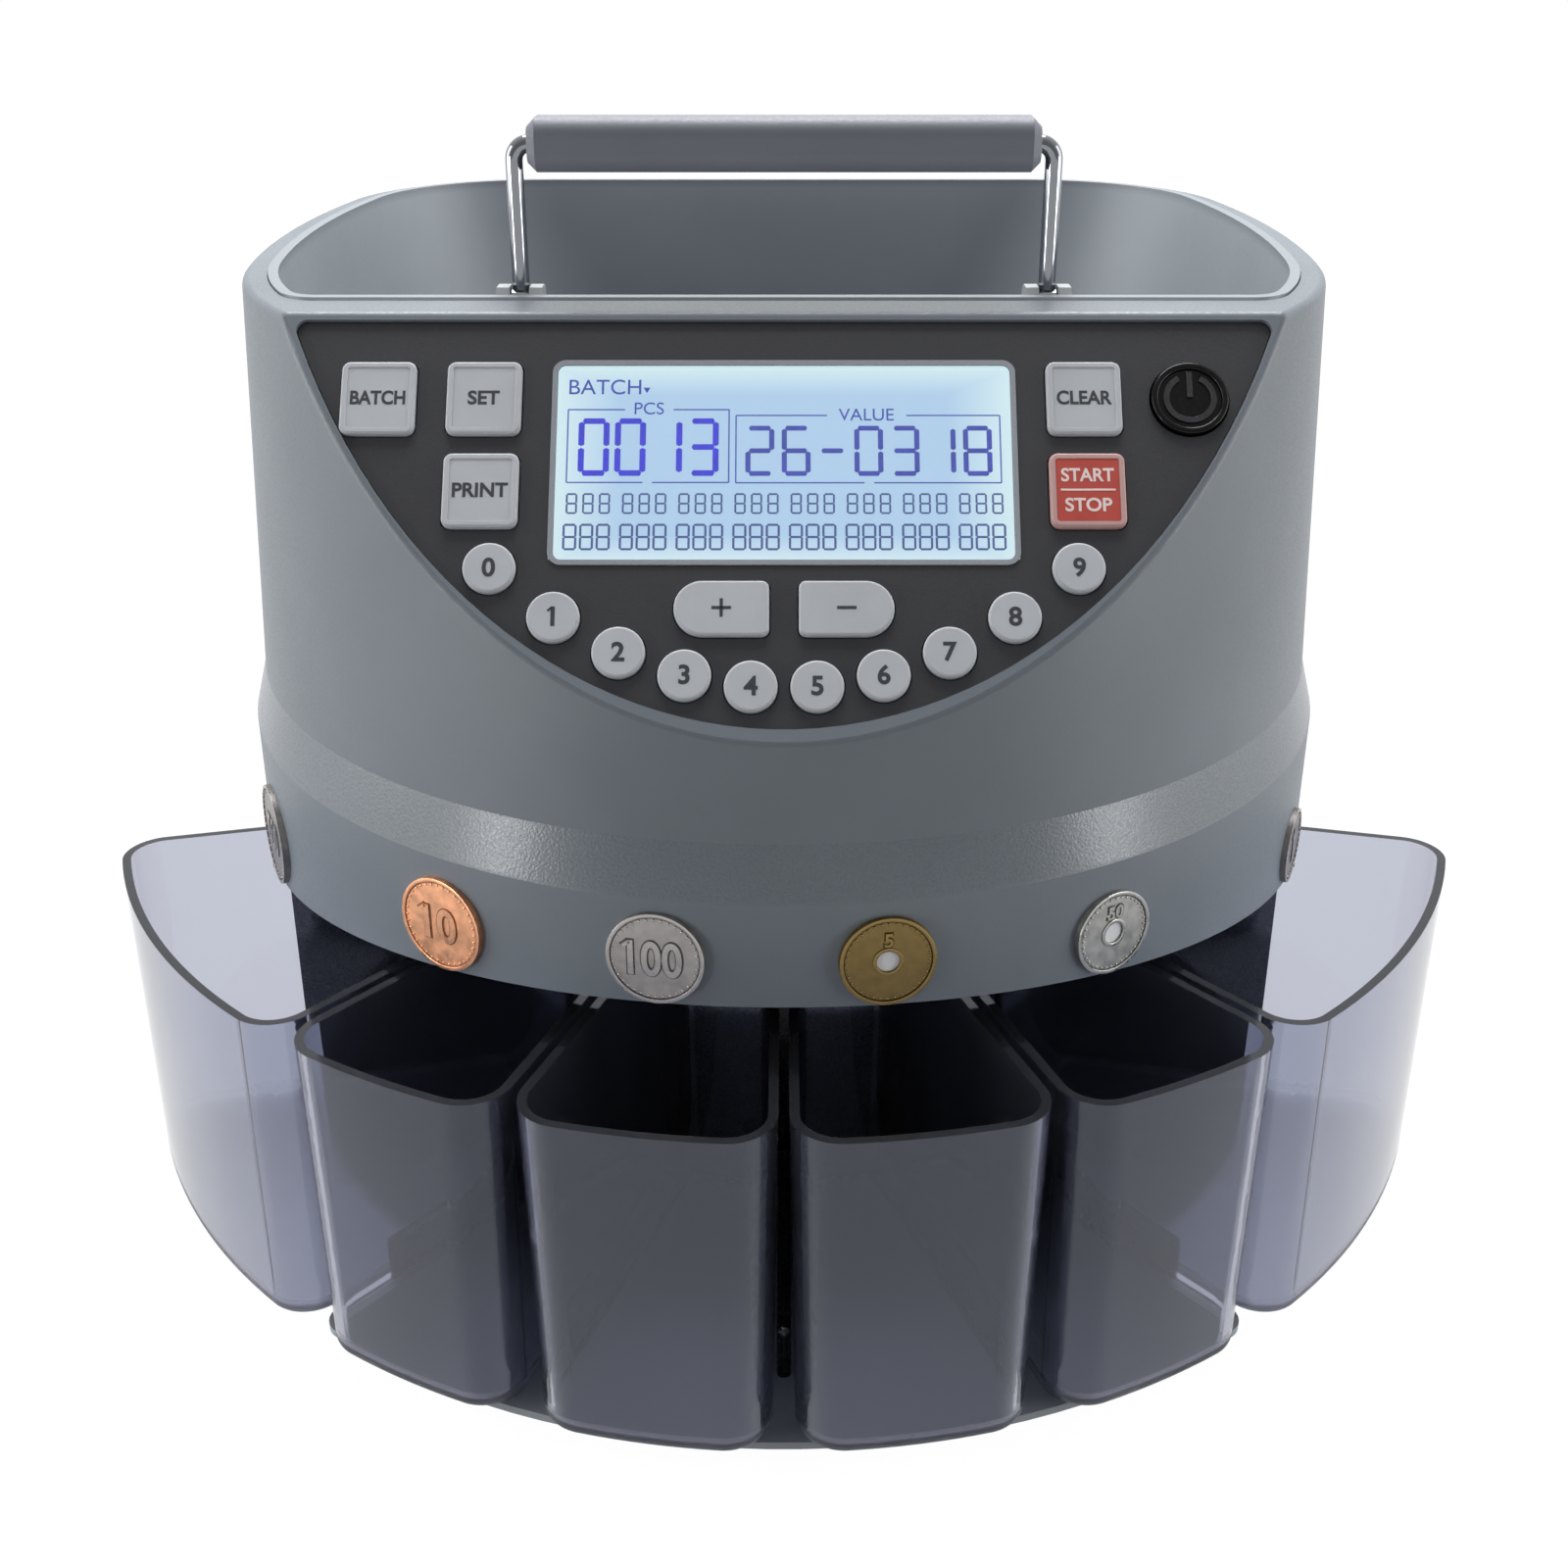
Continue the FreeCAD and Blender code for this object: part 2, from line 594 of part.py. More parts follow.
def drum_form(round_r, inset, z_round, z_rim, z_low, z_high):
    """A drum that is round at one height and has the rim's outline at another."""
    front_r = []
    rows = []
    ends = []
    for z in (z_low, z_high):
        share = (z - z_round) / (z_rim - z_round)
        front_r.append((1 - share) * round_r + share * (RIM_R - inset))
        row = back_arcs(share, round_r, inset, z)
        rows.append(row)
        ends.append([(e.valueAt(e.FirstParameter), e.valueAt(e.LastParameter)) for e in row])
    faces = [Part.makeRuledSurface(low, high) for low, high in zip(*rows)]
    low, high = ends
    axis_low, axis_high = V(0, 0, z_low), V(0, 0, z_high)
    faces.append(outline_face([low[1][1], high[1][1], high[2][0], low[2][0]]))
    faces.append(outline_face([low[0][0], high[0][0], axis_high, axis_low]))
    faces.append(outline_face([low[3][1], high[3][1], axis_high, axis_low]))
    for row, end, axis in zip(rows, ends, (axis_low, axis_high)):
        edges = row + [Part.makeLine(end[3][1], axis), Part.makeLine(axis, end[0][0])]
        if (end[1][1] - end[2][0]).Length > 1e-6:
            edges.append(Part.makeLine(end[1][1], end[2][0]))
        faces.append(Part.Face(Part.Wire(Part.__sortEdges__(edges))))
    shell = Part.makeShell(faces)
    shell.sewShape()
    back = Part.makeSolid(shell)
    if back.Volume < 0:
        back.reverse()
    cone = frustum(front_r[0], front_r[1], z_low, z_high)
    front = cone.cut(wedge(FAR, z_low - 1, z_high + 1, SIDE_AZ, 360 - SIDE_AZ))
    return joined([front, back])


def tub_space(grow, z_low, z_high):
    """The hopper tub's outer form, larger or smaller all round: round at its foot, with a sloped front."""
    tub = drum_form(TUB_FOOT_R + grow, RIM_W + TUB_FIT - grow, TRACK_TOP, TUB_TOP_Z, z_low, z_high)
    cut = tub.cut(in_front_of_panel(TUB_SET - grow))
    corner = [e for e in cut.Edges if e.BoundBox.ZMax > z_high - 1e-3 and e.BoundBox.ZLength > TUB_CORNER_R]
    front = [e for e in corner if e.BoundBox.YMin < -TUB_FOOT_R / 4]
    return cut.makeFillet(TUB_CORNER_R + grow, front)


def hopper_tub():
    outer = tub_space(0.0, TRACK_TOP, TUB_TOP_Z)
    inner = tub_space(-TUB_WALL, TRACK_TOP, TUB_TOP_Z + 1)
    return outer.cut(inner)


def upper_housing():
    drum = drum_form(CREASE_R, 0.0, CREASE_Z, RIM_Z, CREASE_Z, RIM_Z)
    outer = drum.cut(in_front_of_panel(0.0))
    edges = [e for e in outer.Edges if e.BoundBox.ZMax > RIM_Z - 1e-3]
    crest = [e for e in edges if e.BoundBox.ZLength < 1e-3 or e.BoundBox.XLength > RIM_R]
    outer = outer.makeFillet(RIM_ROUND, crest)
    hollow = drum_form(CREASE_R - UPPER_WALL, UPPER_WALL, CREASE_Z, RIM_Z, CREASE_Z, RIM_Z)
    hollow = hollow.cut(in_front_of_panel(UPPER_WALL)).cut(box(-FAR, FAR, -FAR, FAR, RIM_Z - RIM_T, FAR))
    shell = outer.cut(hollow)
    ledge_foot = PANEL_BACK - LEDGE_T
    frame = on_panel(panel_blank(UPPER_WALL, ledge_foot, -UPPER_WALL))
    lip_out = CREASE_R - RING_WALL - LAP_FIT
    lip_in = lip_out - LAP_WALL
    lip = tube(lip_out, lip_in, CREASE_Z - LAP_H, CREASE_Z)
    seat = tube(CREASE_R - UPPER_WALL / 2, lip_in, CREASE_Z, CREASE_Z + LAP_WALL)
    shell = joined([shell, frame, seat, lip])
    pocket = on_panel(panel_blank(0.0, PANEL_BACK, 1.0))
    window = on_panel(panel_blank(-LEDGE_W, ledge_foot - 1, 1.0))
    relief = on_panel(KEYS["key_batch"](KEY_FLANGE + KEY_FIT, ledge_foot - 1, PANEL_BACK))
    mouth = tub_space(TUB_FIT, RIM_Z - RIM_T - LEDGE_T - PANEL_T, RIM_Z + 1)
    return shell.cut(pocket).cut(window).cut(relief).cut(mouth)


def skirt_height(y):
    """Height of the band's slanted lower edge at a place in front of the axis."""
    fall = (SKIRT_REAR_DROP - SKIRT_FRONT_DROP) * (y + RING_R) / RING_R
    return DECK_TOP - SKIRT_FRONT_DROP - fall


END_BIN_STEP_Z = skirt_height(-RING_R * math.cos(math.radians(END_BIN_AZ))) - END_BIN_STEP_CLEAR


def ring_housing():
    inner = RING_R - RING_WALL
    low = DECK_TOP - SKIRT_REAR_DROP
    flange_in = inner - RING_FLANGE_W
    flange_top = DECK_TOP + RING_FLANGE_T
    band = revolved([(RING_R, low), (RING_R, BEVEL_Z), (CREASE_R, CREASE_Z),
                     (CREASE_R - RING_WALL, CREASE_Z), (inner, BEVEL_Z), (inner, flange_top),
                     (flange_in, flange_top), (flange_in, DECK_TOP), (inner, DECK_TOP), (inner, low)])
    under = prism([(-FAR, -FAR, skirt_height(-FAR)), (-FAR, 0, low), (-FAR, 0, -FAR), (-FAR, -FAR, -FAR)],
                  (2 * FAR, 0, 0))
    holes = [cylinder(SCREW_R + SCREW_FIT, DECK_TOP, flange_top, p.x, p.y) for p in rear_bosses()]
    return band.cut(under).cut(Part.makeCompound(holes))


def coin_labels():
    """Plain coin discs on the band, one over each bin."""
    labels = []
    for index, az in enumerate(LABEL_AZ):
        radius = COIN_SIZES[index] / 2
        edge = skirt_height(-RING_R * math.cos(math.radians(az)))
        z = edge + radius + LABEL_MARGIN
        depth = LABEL_T + RING_WALL
        disc = Part.makeCylinder(radius, depth, V(0, -RING_R - LABEL_T, z), V(0, 1, 0))
        if index in LABEL_HOLED:
            disc = disc.cut(Part.makeCylinder(LABEL_HOLE_R, depth, V(0, -RING_R - LABEL_T, z), V(0, 1, 0)))
        disc = disc.cut(cylinder(RING_R, 0, FAR))
        labels.append(turned(disc, az))
    return Part.makeCompound(labels)


# Stand, chassis and bins

def rear_bosses():
    radius = CHASSIS_R - CHASSIS_WALL - BOSS_R + BOSS_SINK
    return [polar(radius, az) for az in REAR_BOSS_AZ]


def front_bosses():
    radius = COLUMN_R - CHASSIS_WALL - BOSS_R + BOSS_SINK
    return [polar(radius, az) for az in FRONT_BOSS_AZ]


def base_plate():
    end_az = 2 * BIN_TURN + BASE_END_TURN
    front = wedge(BASE_R, FOOT_H, BASE_TOP, -end_az, end_az)
    corners = upright_edges(front, lambda p: math.hypot(p.x, p.y) > CHASSIS_R)
    front = front.makeFillet(BASE_CORNER_R, corners)
    plate = joined([cylinder(CHASSIS_R, FOOT_H, BASE_TOP), front])
    bosses = rear_bosses() + front_bosses()
    holes = [cylinder(SCREW_R + SCREW_FIT, FOOT_H, BASE_TOP, p.x, p.y) for p in bosses]
    return plate.cut(Part.makeCompound(holes))


def bin_guides():
    """Low dark walls on the plate between the bins, round at their front ends."""
    half = GUIDE_W / 2
    top = BASE_TOP + GUIDE_H
    end = BASE_R - GUIDE_END_IN - half
    wall = box(-half, half, -end, -BIN_BACK_R, BASE_TOP, top)
    guide = joined([wall, cylinder(half, BASE_TOP, top, 0, -end)])
    guide = guide.makeFillet(GUIDE_ROUND, level_edges(guide, top))
    return Part.makeCompound([turned(guide, az) for az in BIN_EDGES[1:-1]])


def rubber_feet():
    places = [polar(FRONT_FOOT_R, az) for az in (-FRONT_FOOT_AZ, FRONT_FOOT_AZ)]
    places += [polar(REAR_FOOT_R, az) for az in (-REAR_FOOT_AZ, REAR_FOOT_AZ)]
    return Part.makeCompound([cylinder(FOOT_R, 0, FOOT_H, p.x, p.y) for p in places])


def chassis_form(inset, z_low, z_high):
    """The rear sector and the column in front of it, drawn in by a wall."""
    sector = wedge(CHASSIS_R - inset, z_low, z_high, CHASSIS_AZ, 360 - CHASSIS_AZ)
    flat = box(-FAR, FAR, FLAT_Y - inset, FAR, FLAT_LOW - inset, FLAT_HIGH + inset)
    return joined([sector.cut(flat), cylinder(COLUMN_R - inset, z_low, z_high)])


def side_walls():
    """The two radial walls behind the end bins."""
    wall = box(0, CHASSIS_WALL, -CHASSIS_R, -COLUMN_R + CHASSIS_WALL, BASE_TOP, DECK_Z)
    mirrored = box(-CHASSIS_WALL, 0, -CHASSIS_R, -COLUMN_R + CHASSIS_WALL, BASE_TOP, DECK_Z)
    walls = joined([turned(wall, CHASSIS_AZ), turned(mirrored, -CHASSIS_AZ)])
    return walls.common(chassis_form(0.0, BASE_TOP, DECK_Z))


def vents():
    """Upright slots with round ends, in the two rear quarters of the wall."""
    half = VENT_W / 2
    low = BASE_TOP + VENT_LOW
    slot = box(-half, half, -CHASSIS_R - 1, CHASSIS_WALL - CHASSIS_R + 1, low, low + VENT_H)
    ends = [e for e in slot.Edges if e.BoundBox.YLength > CHASSIS_WALL]
    slot = slot.makeFillet(half - VENT_END_FLAT, ends)
    return [turned(slot, side * az) for az in VENT_AZ for side in (-1, 1)]


def rear_chassis():
    shell = chassis_form(0.0, BASE_TOP, DECK_Z).cut(chassis_form(CHASSIS_WALL, BASE_TOP, DECK_Z))
    places = rear_bosses() + front_bosses()
    shell = joined([shell, side_walls()] + [cylinder(BOSS_R, BASE_TOP, DECK_Z, p.x, p.y) for p in places])
    pilots = [cylinder(SCREW_R, BASE_TOP, FOOT_H + SCREW_L, p.x, p.y) for p in places]
    upper_end = DECK_TOP + RING_FLANGE_T - SCREW_L
    pilots += [cylinder(SCREW_R, upper_end, DECK_Z, p.x, p.y) for p in rear_bosses()]
    for x, width, height in ((INLET_X, INLET_W, INLET_H), (PORT_X, PORT_W, PORT_H)):
        half_w = width / 2 + CONNECTOR_FIT
        half_h = height / 2 + CONNECTOR_FIT
        pilots.append(box(x - half_w, x + half_w, FLAT_Y - CHASSIS_WALL - 1, FLAT_Y + 1,
                          CONNECTOR_Z - half_h, CONNECTOR_Z + half_h))
    return shell.cut(Part.makeCompound(pilots + vents()))


def screws():
    """Identical pan-head screws: six up through the base, four down through the band and the deck."""
    found = []
    for p in rear_bosses() + front_bosses():
        head = cylinder(SCREW_HEAD_R, FOOT_H - SCREW_HEAD_H, FOOT_H, p.x, p.y)
        found.append(joined([head, cylinder(SCREW_R, FOOT_H, FOOT_H + SCREW_L, p.x, p.y)]))
    seat = DECK_TOP + RING_FLANGE_T
    for p in rear_bosses():
        head = cylinder(SCREW_HEAD_R, seat, seat + SCREW_HEAD_H, p.x, p.y)
        found.append(joined([head, cylinder(SCREW_R, seat - SCREW_L, seat, p.x, p.y)]))
    return Part.makeCompound(found)


def bin_form(az_low, az_high, inset, z_low):
    """A bin's outer form, or its hollow drawn in by a wall."""
    top = BIN_RIM_Z + inset
    lean = BIN_LEAN / BIN_H
    r_low = BIN_R - BIN_LEAN + lean * (z_low - BIN_FOOT_Z) - inset
    r_high = BIN_R + lean * inset - inset
    form = Part.makeCone(r_low, r_high, top - z_low, V(0, 0, z_low), UP, az_high - az_low)
    form = turned(form, az_low - 90).cut(cylinder(BIN_BACK_R + inset, z_low, top))
    draft = (BIN_GAP_FOOT - BIN_GAP_RIM) / BIN_H
    gap_low = BIN_GAP_FOOT - draft * (z_low - BIN_FOOT_Z) + inset
    gap_high = BIN_GAP_RIM - draft * inset + inset
    for az, side in ((az_low, 1), (az_high, -1)):
        profile = [(-side, 0, z_low), (side * gap_low, 0, z_low),
                   (side * gap_high, 0, top), (-side, 0, top)]
        form = form.cut(turned(prism(profile, (0, -FAR, 0)), az))
    middle = (BIN_R + BIN_BACK_R) / 2
    outer = upright_edges(form, lambda p: math.hypot(p.x, p.y) > middle)
    form = form.makeFillet(BIN_CORNER_R - inset, outer)
    back = upright_edges(form, lambda p: math.hypot(p.x, p.y) < BIN_BACK_R + BIN_BACK_CORNER_R)
    return form.makeFillet(BIN_BACK_CORNER_R - inset, back)


def coin_bin(index):
    az_low, az_high = BIN_EDGES[index], BIN_EDGES[index + 1]
    outer = bin_form(az_low, az_high, 0.0, BIN_FOOT_Z)
    outer = outer.makeFillet(BIN_FOOT_ROUND, level_edges(outer, BIN_FOOT_Z))
    cup = outer.cut(bin_form(az_low, az_high, BIN_WALL, BIN_FOOT_Z + BIN_FLOOR))
    if index in (0, len(BIN_NAMES) - 1):
        # A wide bin's walls step down where it passes under the low sides of the skirt
        step = END_BIN_STEP_Z
        outer_az = az_low if az_low < 0 else az_high
        start_az = outer_az - END_BIN_STEP_TURN
        end_az = outer_az + END_BIN_STEP_TURN
        cup = cup.cut(cylinder(END_BIN_STEP_R, step, FAR))
        cup = cup.cut(wedge(RING_R + LABEL_T, step, FAR, start_az, end_az))
    return cup


# Sort deck, feed wheel and drive

def bin_middles():
    """Azimuths of the bins, in the order in which the coins pass them: the smallest size first."""
    return [(BIN_EDGES[i] + BIN_EDGES[i + 1]) / 2 for i in reversed(range(6))]


def sort_deck():
    deck = cylinder(CHASSIS_R, DECK_Z, DECK_TOP)
    cuts = [cylinder(BUSH_R, DECK_Z, DECK_TOP)]
    cuts += [cylinder(SCREW_R + SCREW_FIT, DECK_Z, DECK_TOP, p.x, p.y) for p in rear_bosses()]
    for az, size in zip(bin_middles(), COIN_SIZES):
        slot_out = TRACK_R + SLOT_LIP
        slot_in = slot_out - size - SLOT_ROOM
        half_turn = math.degrees((size + SLOT_RUN) / 2 / (slot_out - size / 2))
        slot = wedge(slot_out, DECK_Z, DECK_TOP, az - half_turn, az + half_turn)
        cuts.append(slot.cut(cylinder(slot_in, DECK_Z, DECK_TOP)))
    return deck.cut(Part.makeCompound(cuts))


def track_ring():
    return tube(TRACK_R + TRACK_RING_W, TRACK_R, DECK_TOP, TRACK_TOP)


def coin_sensors():
    blocks = []
    for az in bin_middles():
        inner = TRACK_R + SENSOR_OUT
        block = box(-SENSOR_W / 2, SENSOR_W / 2, -inner - SENSOR_D, -inner, DECK_Z - SENSOR_H, DECK_Z)
        blocks.append(turned(block, az))
    return Part.makeCompound(blocks)


def feed_wheel():
    """A hub with tapered pusher fingers, a stirring cone and stirring ribs."""
    tip = TRACK_R - FEED_TIP_GAP
    root = FEED_HUB_R - FINGER_ROOT_W
    half_root = FINGER_ROOT_W / 2
    half_tip = FINGER_TIP_W / 2
    finger = prism([(-half_root, -root, FEED_Z), (half_root, -root, FEED_Z),
                    (half_tip, -tip - 1, FEED_Z), (-half_tip, -tip - 1, FEED_Z)], (0, 0, FEED_T))
    finger = finger.common(cylinder(tip, FEED_Z, FEED_TOP))
    fingers = [turned(finger, i * 360 / FINGER_COUNT) for i in range(FINGER_COUNT)]
    half_rib = STIR_RIB_W / 2
    rib = box(-half_rib, half_rib, -root, -CONE_TOP_R, FEED_TOP, FEED_TOP + STIR_RIB_H)
    ribs = [turned(rib, i * 360 / STIR_RIB_COUNT) for i in range(STIR_RIB_COUNT)]
    cone = frustum(CONE_R, CONE_TOP_R, FEED_TOP, CONE_TOP)
    wheel = joined([cylinder(FEED_HUB_R, FEED_Z, FEED_TOP), cone] + fingers + ribs)
    return wheel.cut(cylinder(SHAFT_R, FEED_Z, CONE_TOP))


def feed_cap():
    cap = cylinder(CAP_R, CONE_TOP, CONE_TOP + CAP_H)
    cap = cap.makeFillet(CAP_ROUND, level_edges(cap, CONE_TOP + CAP_H))
    return cap.cut(cylinder(SHAFT_R, CONE_TOP, CONE_TOP + SHAFT_IN_CAP))


def main_shaft():
    return cylinder(SHAFT_R, PLATE_Z - BUSH_FLANGE_T, CONE_TOP + SHAFT_IN_CAP)


def bush(seat, length):
    """A flanged bush that sits up against the underside of a plate."""
    low = seat - BUSH_FLANGE_T
    high = seat + length
    body = joined([cylinder(BUSH_FLANGE_R, low, seat), cylinder(BUSH_R, seat, high)])
    return body.cut(cylinder(SHAFT_R + RUNNING_FIT, low, high))


def shaft_bushes():
    return Part.makeCompound([bush(DECK_Z, DECK_T), bush(PLATE_Z, PLATE_T)])


def spur_gear(teeth, first_tooth, z_low, z_high):
    """Spur gear with involute flanks, with one tooth at the given angle from +X."""
    pitch = GEAR_MODULE * teeth / 2
    base = pitch * math.cos(math.radians(PRESSURE_ANGLE))
    tip = pitch + GEAR_TIP * GEAR_MODULE
    root = pitch - GEAR_ROOT * GEAR_MODULE

    def involute(radius):
        roll = math.acos(base / radius)
        return math.tan(roll) - roll

    def half_tooth(radius):
        thickness = math.pi * GEAR_MODULE / 2 - GEAR_BACKLASH
        return thickness / (2 * pitch) + involute(pitch) - involute(max(radius, base))

    flank = [(root, half_tooth(root))]
    start = max(root, base)
    for step in range(3):
        radius = start + (tip - start) * step / 2
        flank.append((radius, half_tooth(radius)))
    points = []
    for tooth in range(teeth):
        middle = math.radians(first_tooth) + 2 * math.pi * tooth / teeth
        for radius, half in flank:
            points.append((radius * math.cos(middle - half), radius * math.sin(middle - half), z_low))
        for radius, half in reversed(flank):
            points.append((radius * math.cos(middle + half), radius * math.sin(middle + half), z_low))
    return prism(points, (0, 0, z_high - z_low))


def drive_gear():
    gear = spur_gear(GEAR_TEETH, 90, GEAR_Z, GEAR_Z + GEAR_W)
    hub = cylinder(GEAR_HUB_R, PLATE_TOP + GEAR_HUB_GAP, GEAR_Z + GEAR_W)
    return joined([gear, hub]).cut(cylinder(SHAFT_R, PLATE_TOP, GEAR_Z + GEAR_W))


def motor_pinion():
    gear = spur_gear(PINION_TEETH, -90 + 180 / PINION_TEETH, GEAR_Z, GEAR_Z + GEAR_W)
    shaft = cylinder(PINION_SHAFT_R, PLATE_Z - PINION_SHAFT_IN, GEAR_Z + GEAR_W)
    pinion = joined([gear, shaft])
    pinion.translate(V(0, GEAR_CENTRES, 0))
    return pinion


def drive_motor():
    can = cylinder(MOTOR_R, PLATE_Z - MOTOR_L, PLATE_Z, 0, GEAR_CENTRES)
    bore = cylinder(PINION_SHAFT_R + RUNNING_FIT, PLATE_Z - PINION_SHAFT_IN - 1, PLATE_Z, 0, GEAR_CENTRES)
    return can.cut(bore)


def standoff_places():
    x = PLATE_W / 2 - STANDOFF_IN
    y_low = STANDOFF_IN - PLATE_FRONT
    y_high = GEAR_CENTRES + PLATE_BACK_MARGIN - STANDOFF_IN
    return [(-x, y_low), (x, y_low), (-x, y_high), (x, y_high)]


def drive_plate():
    back = GEAR_CENTRES + PLATE_BACK_MARGIN
    plate = box(-PLATE_W / 2, PLATE_W / 2, -PLATE_FRONT, back, PLATE_Z, PLATE_TOP)
    plate = plate.makeFillet(STANDOFF_IN, upright_edges(plate))
    plate = plate.cut(cylinder(BUSH_R, PLATE_Z, PLATE_TOP))
    return plate.cut(cylinder(PINION_SHAFT_R + PINION_PASS, PLATE_Z, PLATE_TOP, 0, GEAR_CENTRES))


def plate_standoffs():
    return Part.makeCompound([cylinder(STANDOFF_R, PLATE_TOP, DECK_Z, x, y) for x, y in standoff_places()])


# Boards and connectors

def power_supply():
    half_w = SUPPLY_W / 2
    half_d = SUPPLY_D / 2
    return box(-half_w, half_w, SUPPLY_Y - half_d, SUPPLY_Y + half_d, BASE_TOP, BASE_TOP + SUPPLY_H)


def main_board():
    """A board that stands on its edge, with two relays on its inner side."""
    half = MAIN_BOARD_L / 2
    top = BASE_TOP + MAIN_BOARD_H
    face = MAIN_BOARD_X + BOARD_T
    board = box(MAIN_BOARD_X, face, MAIN_BOARD_Y - half, MAIN_BOARD_Y + half, BASE_TOP, top)
    relays = []
    for side in (-1, 1):
        y = MAIN_BOARD_Y + side * half / 2
        z = BASE_TOP + MAIN_BOARD_H / 2
        relays.append(box(face, face + RELAY_H, y - RELAY_D / 2, y + RELAY_D / 2, z, z + RELAY_W))
    return joined([board] + relays)


def power_inlet():
    """A three-blade inlet in the flat at the back."""
    half_w = INLET_W / 2
    half_h = INLET_H / 2
    z = CONNECTOR_Z
    face = FLAT_Y + INLET_FLANGE_T
    body = box(INLET_X - half_w, INLET_X + half_w, FLAT_Y - INLET_D, FLAT_Y, z - half_h, z + half_h)
    flange = box(INLET_X - half_w - INLET_FLANGE, INLET_X + half_w + INLET_FLANGE, FLAT_Y, face,
                 z - half_h - INLET_FLANGE, z + half_h + INLET_FLANGE)
    well_w = SOCKET_W / 2
    well_h = SOCKET_H / 2
    bottom = face - SOCKET_D
    well = prism([(INLET_X - well_w, bottom, z - well_h), (INLET_X + well_w, bottom, z - well_h),
                  (INLET_X + well_w, bottom, z + well_h - SOCKET_CHAMFER),
                  (INLET_X + well_w - SOCKET_CHAMFER, bottom, z + well_h),
                  (INLET_X - well_w + SOCKET_CHAMFER, bottom, z + well_h),
                  (INLET_X - well_w, bottom, z + well_h - SOCKET_CHAMFER)], (0, SOCKET_D, 0))
    inlet = joined([body, flange]).cut(well)
    blades = []
    for step, rise in ((-1, -1), (0, 1), (1, -1)):
        x = INLET_X + step * BLADE_PITCH
        middle = z + rise * BLADE_W
        blades.append(box(x - BLADE_W / 2, x + BLADE_W / 2, bottom, bottom + BLADE_L,
                          middle - BLADE_H / 2, middle + BLADE_H / 2))
    return joined([inlet] + blades)


def data_port():
    """A nine-way socket with a flat flange and a raised shell."""
    z = CONNECTOR_Z
    half_w = PORT_W / 2
    half_h = PORT_H / 2
    body = box(PORT_X - half_w, PORT_X + half_w, FLAT_Y - PORT_D, FLAT_Y, z - half_h, z + half_h)
    face = FLAT_Y + PORT_FLANGE_T
    lean = PORT_FLANGE_T
    flange = box(PORT_X - half_w - PORT_FLANGE, PORT_X + half_w + PORT_FLANGE, FLAT_Y, face,
                 z - half_h - lean, z + half_h + lean)
    half_top = PORT_SHELL_W / 2
    half_foot = half_top - lean
    shell_h = PORT_SHELL_H / 2
    shell = prism([(PORT_X - half_top, face, z + shell_h), (PORT_X + half_top, face, z + shell_h),
                   (PORT_X + half_foot, face, z - shell_h), (PORT_X - half_foot, face, z - shell_h)],
                  (0, PORT_SHELL_L, 0))
    return joined([body, flange, shell])


# Handle

def pivot_rods(radius, half):
    """A short rod along the pivot's line at each of the handle's feet."""
    return [Part.makeCylinder(radius, 2 * half, V(side * HANDLE_X - half, PIVOT_Y, PIVOT_Z), V(1, 0, 0))
            for side in (-1, 1)]


def handle_bail():
    """A bent wire with a flattened eye at each foot."""
    top = PIVOT_Z + HANDLE_H
    left = V(-HANDLE_X, PIVOT_Y, PIVOT_Z)
    right = V(HANDLE_X, PIVOT_Y, PIVOT_Z)
    bend = WIRE_BEND_R
    slant = bend * (1 - math.sqrt(0.5))
    path = Part.Wire([
        Part.makeLine(left, V(-HANDLE_X, PIVOT_Y, top - bend)),
        Part.Arc(V(-HANDLE_X, PIVOT_Y, top - bend), V(slant - HANDLE_X, PIVOT_Y, top - slant),
                 V(bend - HANDLE_X, PIVOT_Y, top)).toShape(),
        Part.makeLine(V(bend - HANDLE_X, PIVOT_Y, top), V(HANDLE_X - bend, PIVOT_Y, top)),
        Part.Arc(V(HANDLE_X - bend, PIVOT_Y, top), V(HANDLE_X - slant, PIVOT_Y, top - slant),
                 V(HANDLE_X, PIVOT_Y, top - bend)).toShape(),
        Part.makeLine(V(HANDLE_X, PIVOT_Y, top - bend), right)])
    section = Part.Wire(Part.makeCircle(WIRE_R, left, UP))
    wire = path.makePipeShell([section], True, False)
    eyes = pivot_rods(EYE_R, WIRE_R)
    bores = pivot_rods(PIN_R + RUNNING_FIT, WIRE_R)
    return joined([wire] + eyes).cut(Part.makeCompound(bores))


def handle_grip():
    half = HANDLE_X - WIRE_BEND_R
    top = PIVOT_Z + HANDLE_H
    grip = box(-half, half, PIVOT_Y - GRIP_W / 2, PIVOT_Y + GRIP_W / 2, top - GRIP_H / 2, top + GRIP_H / 2)
    long_edges = [e for e in grip.Edges if e.BoundBox.XLength > half]
    grip = grip.makeFillet(GRIP_ROUND, long_edges)
    ends = [e for e in grip.Edges if e.BoundBox.XLength < 1e-6]
    grip = grip.makeChamfer(GRIP_END_ROUND, ends)
    return grip.cut(Part.makeCylinder(WIRE_R, 2 * half, V(-half, PIVOT_Y, top), V(1, 0, 0)))


def tub_wall_y(z):
    """The inner face of the tub's sloped front wall at a height."""
    return PANEL_TOP_Y + TUB_FRONT_SET + PANEL_SLOPE * (z - RIM_Z)


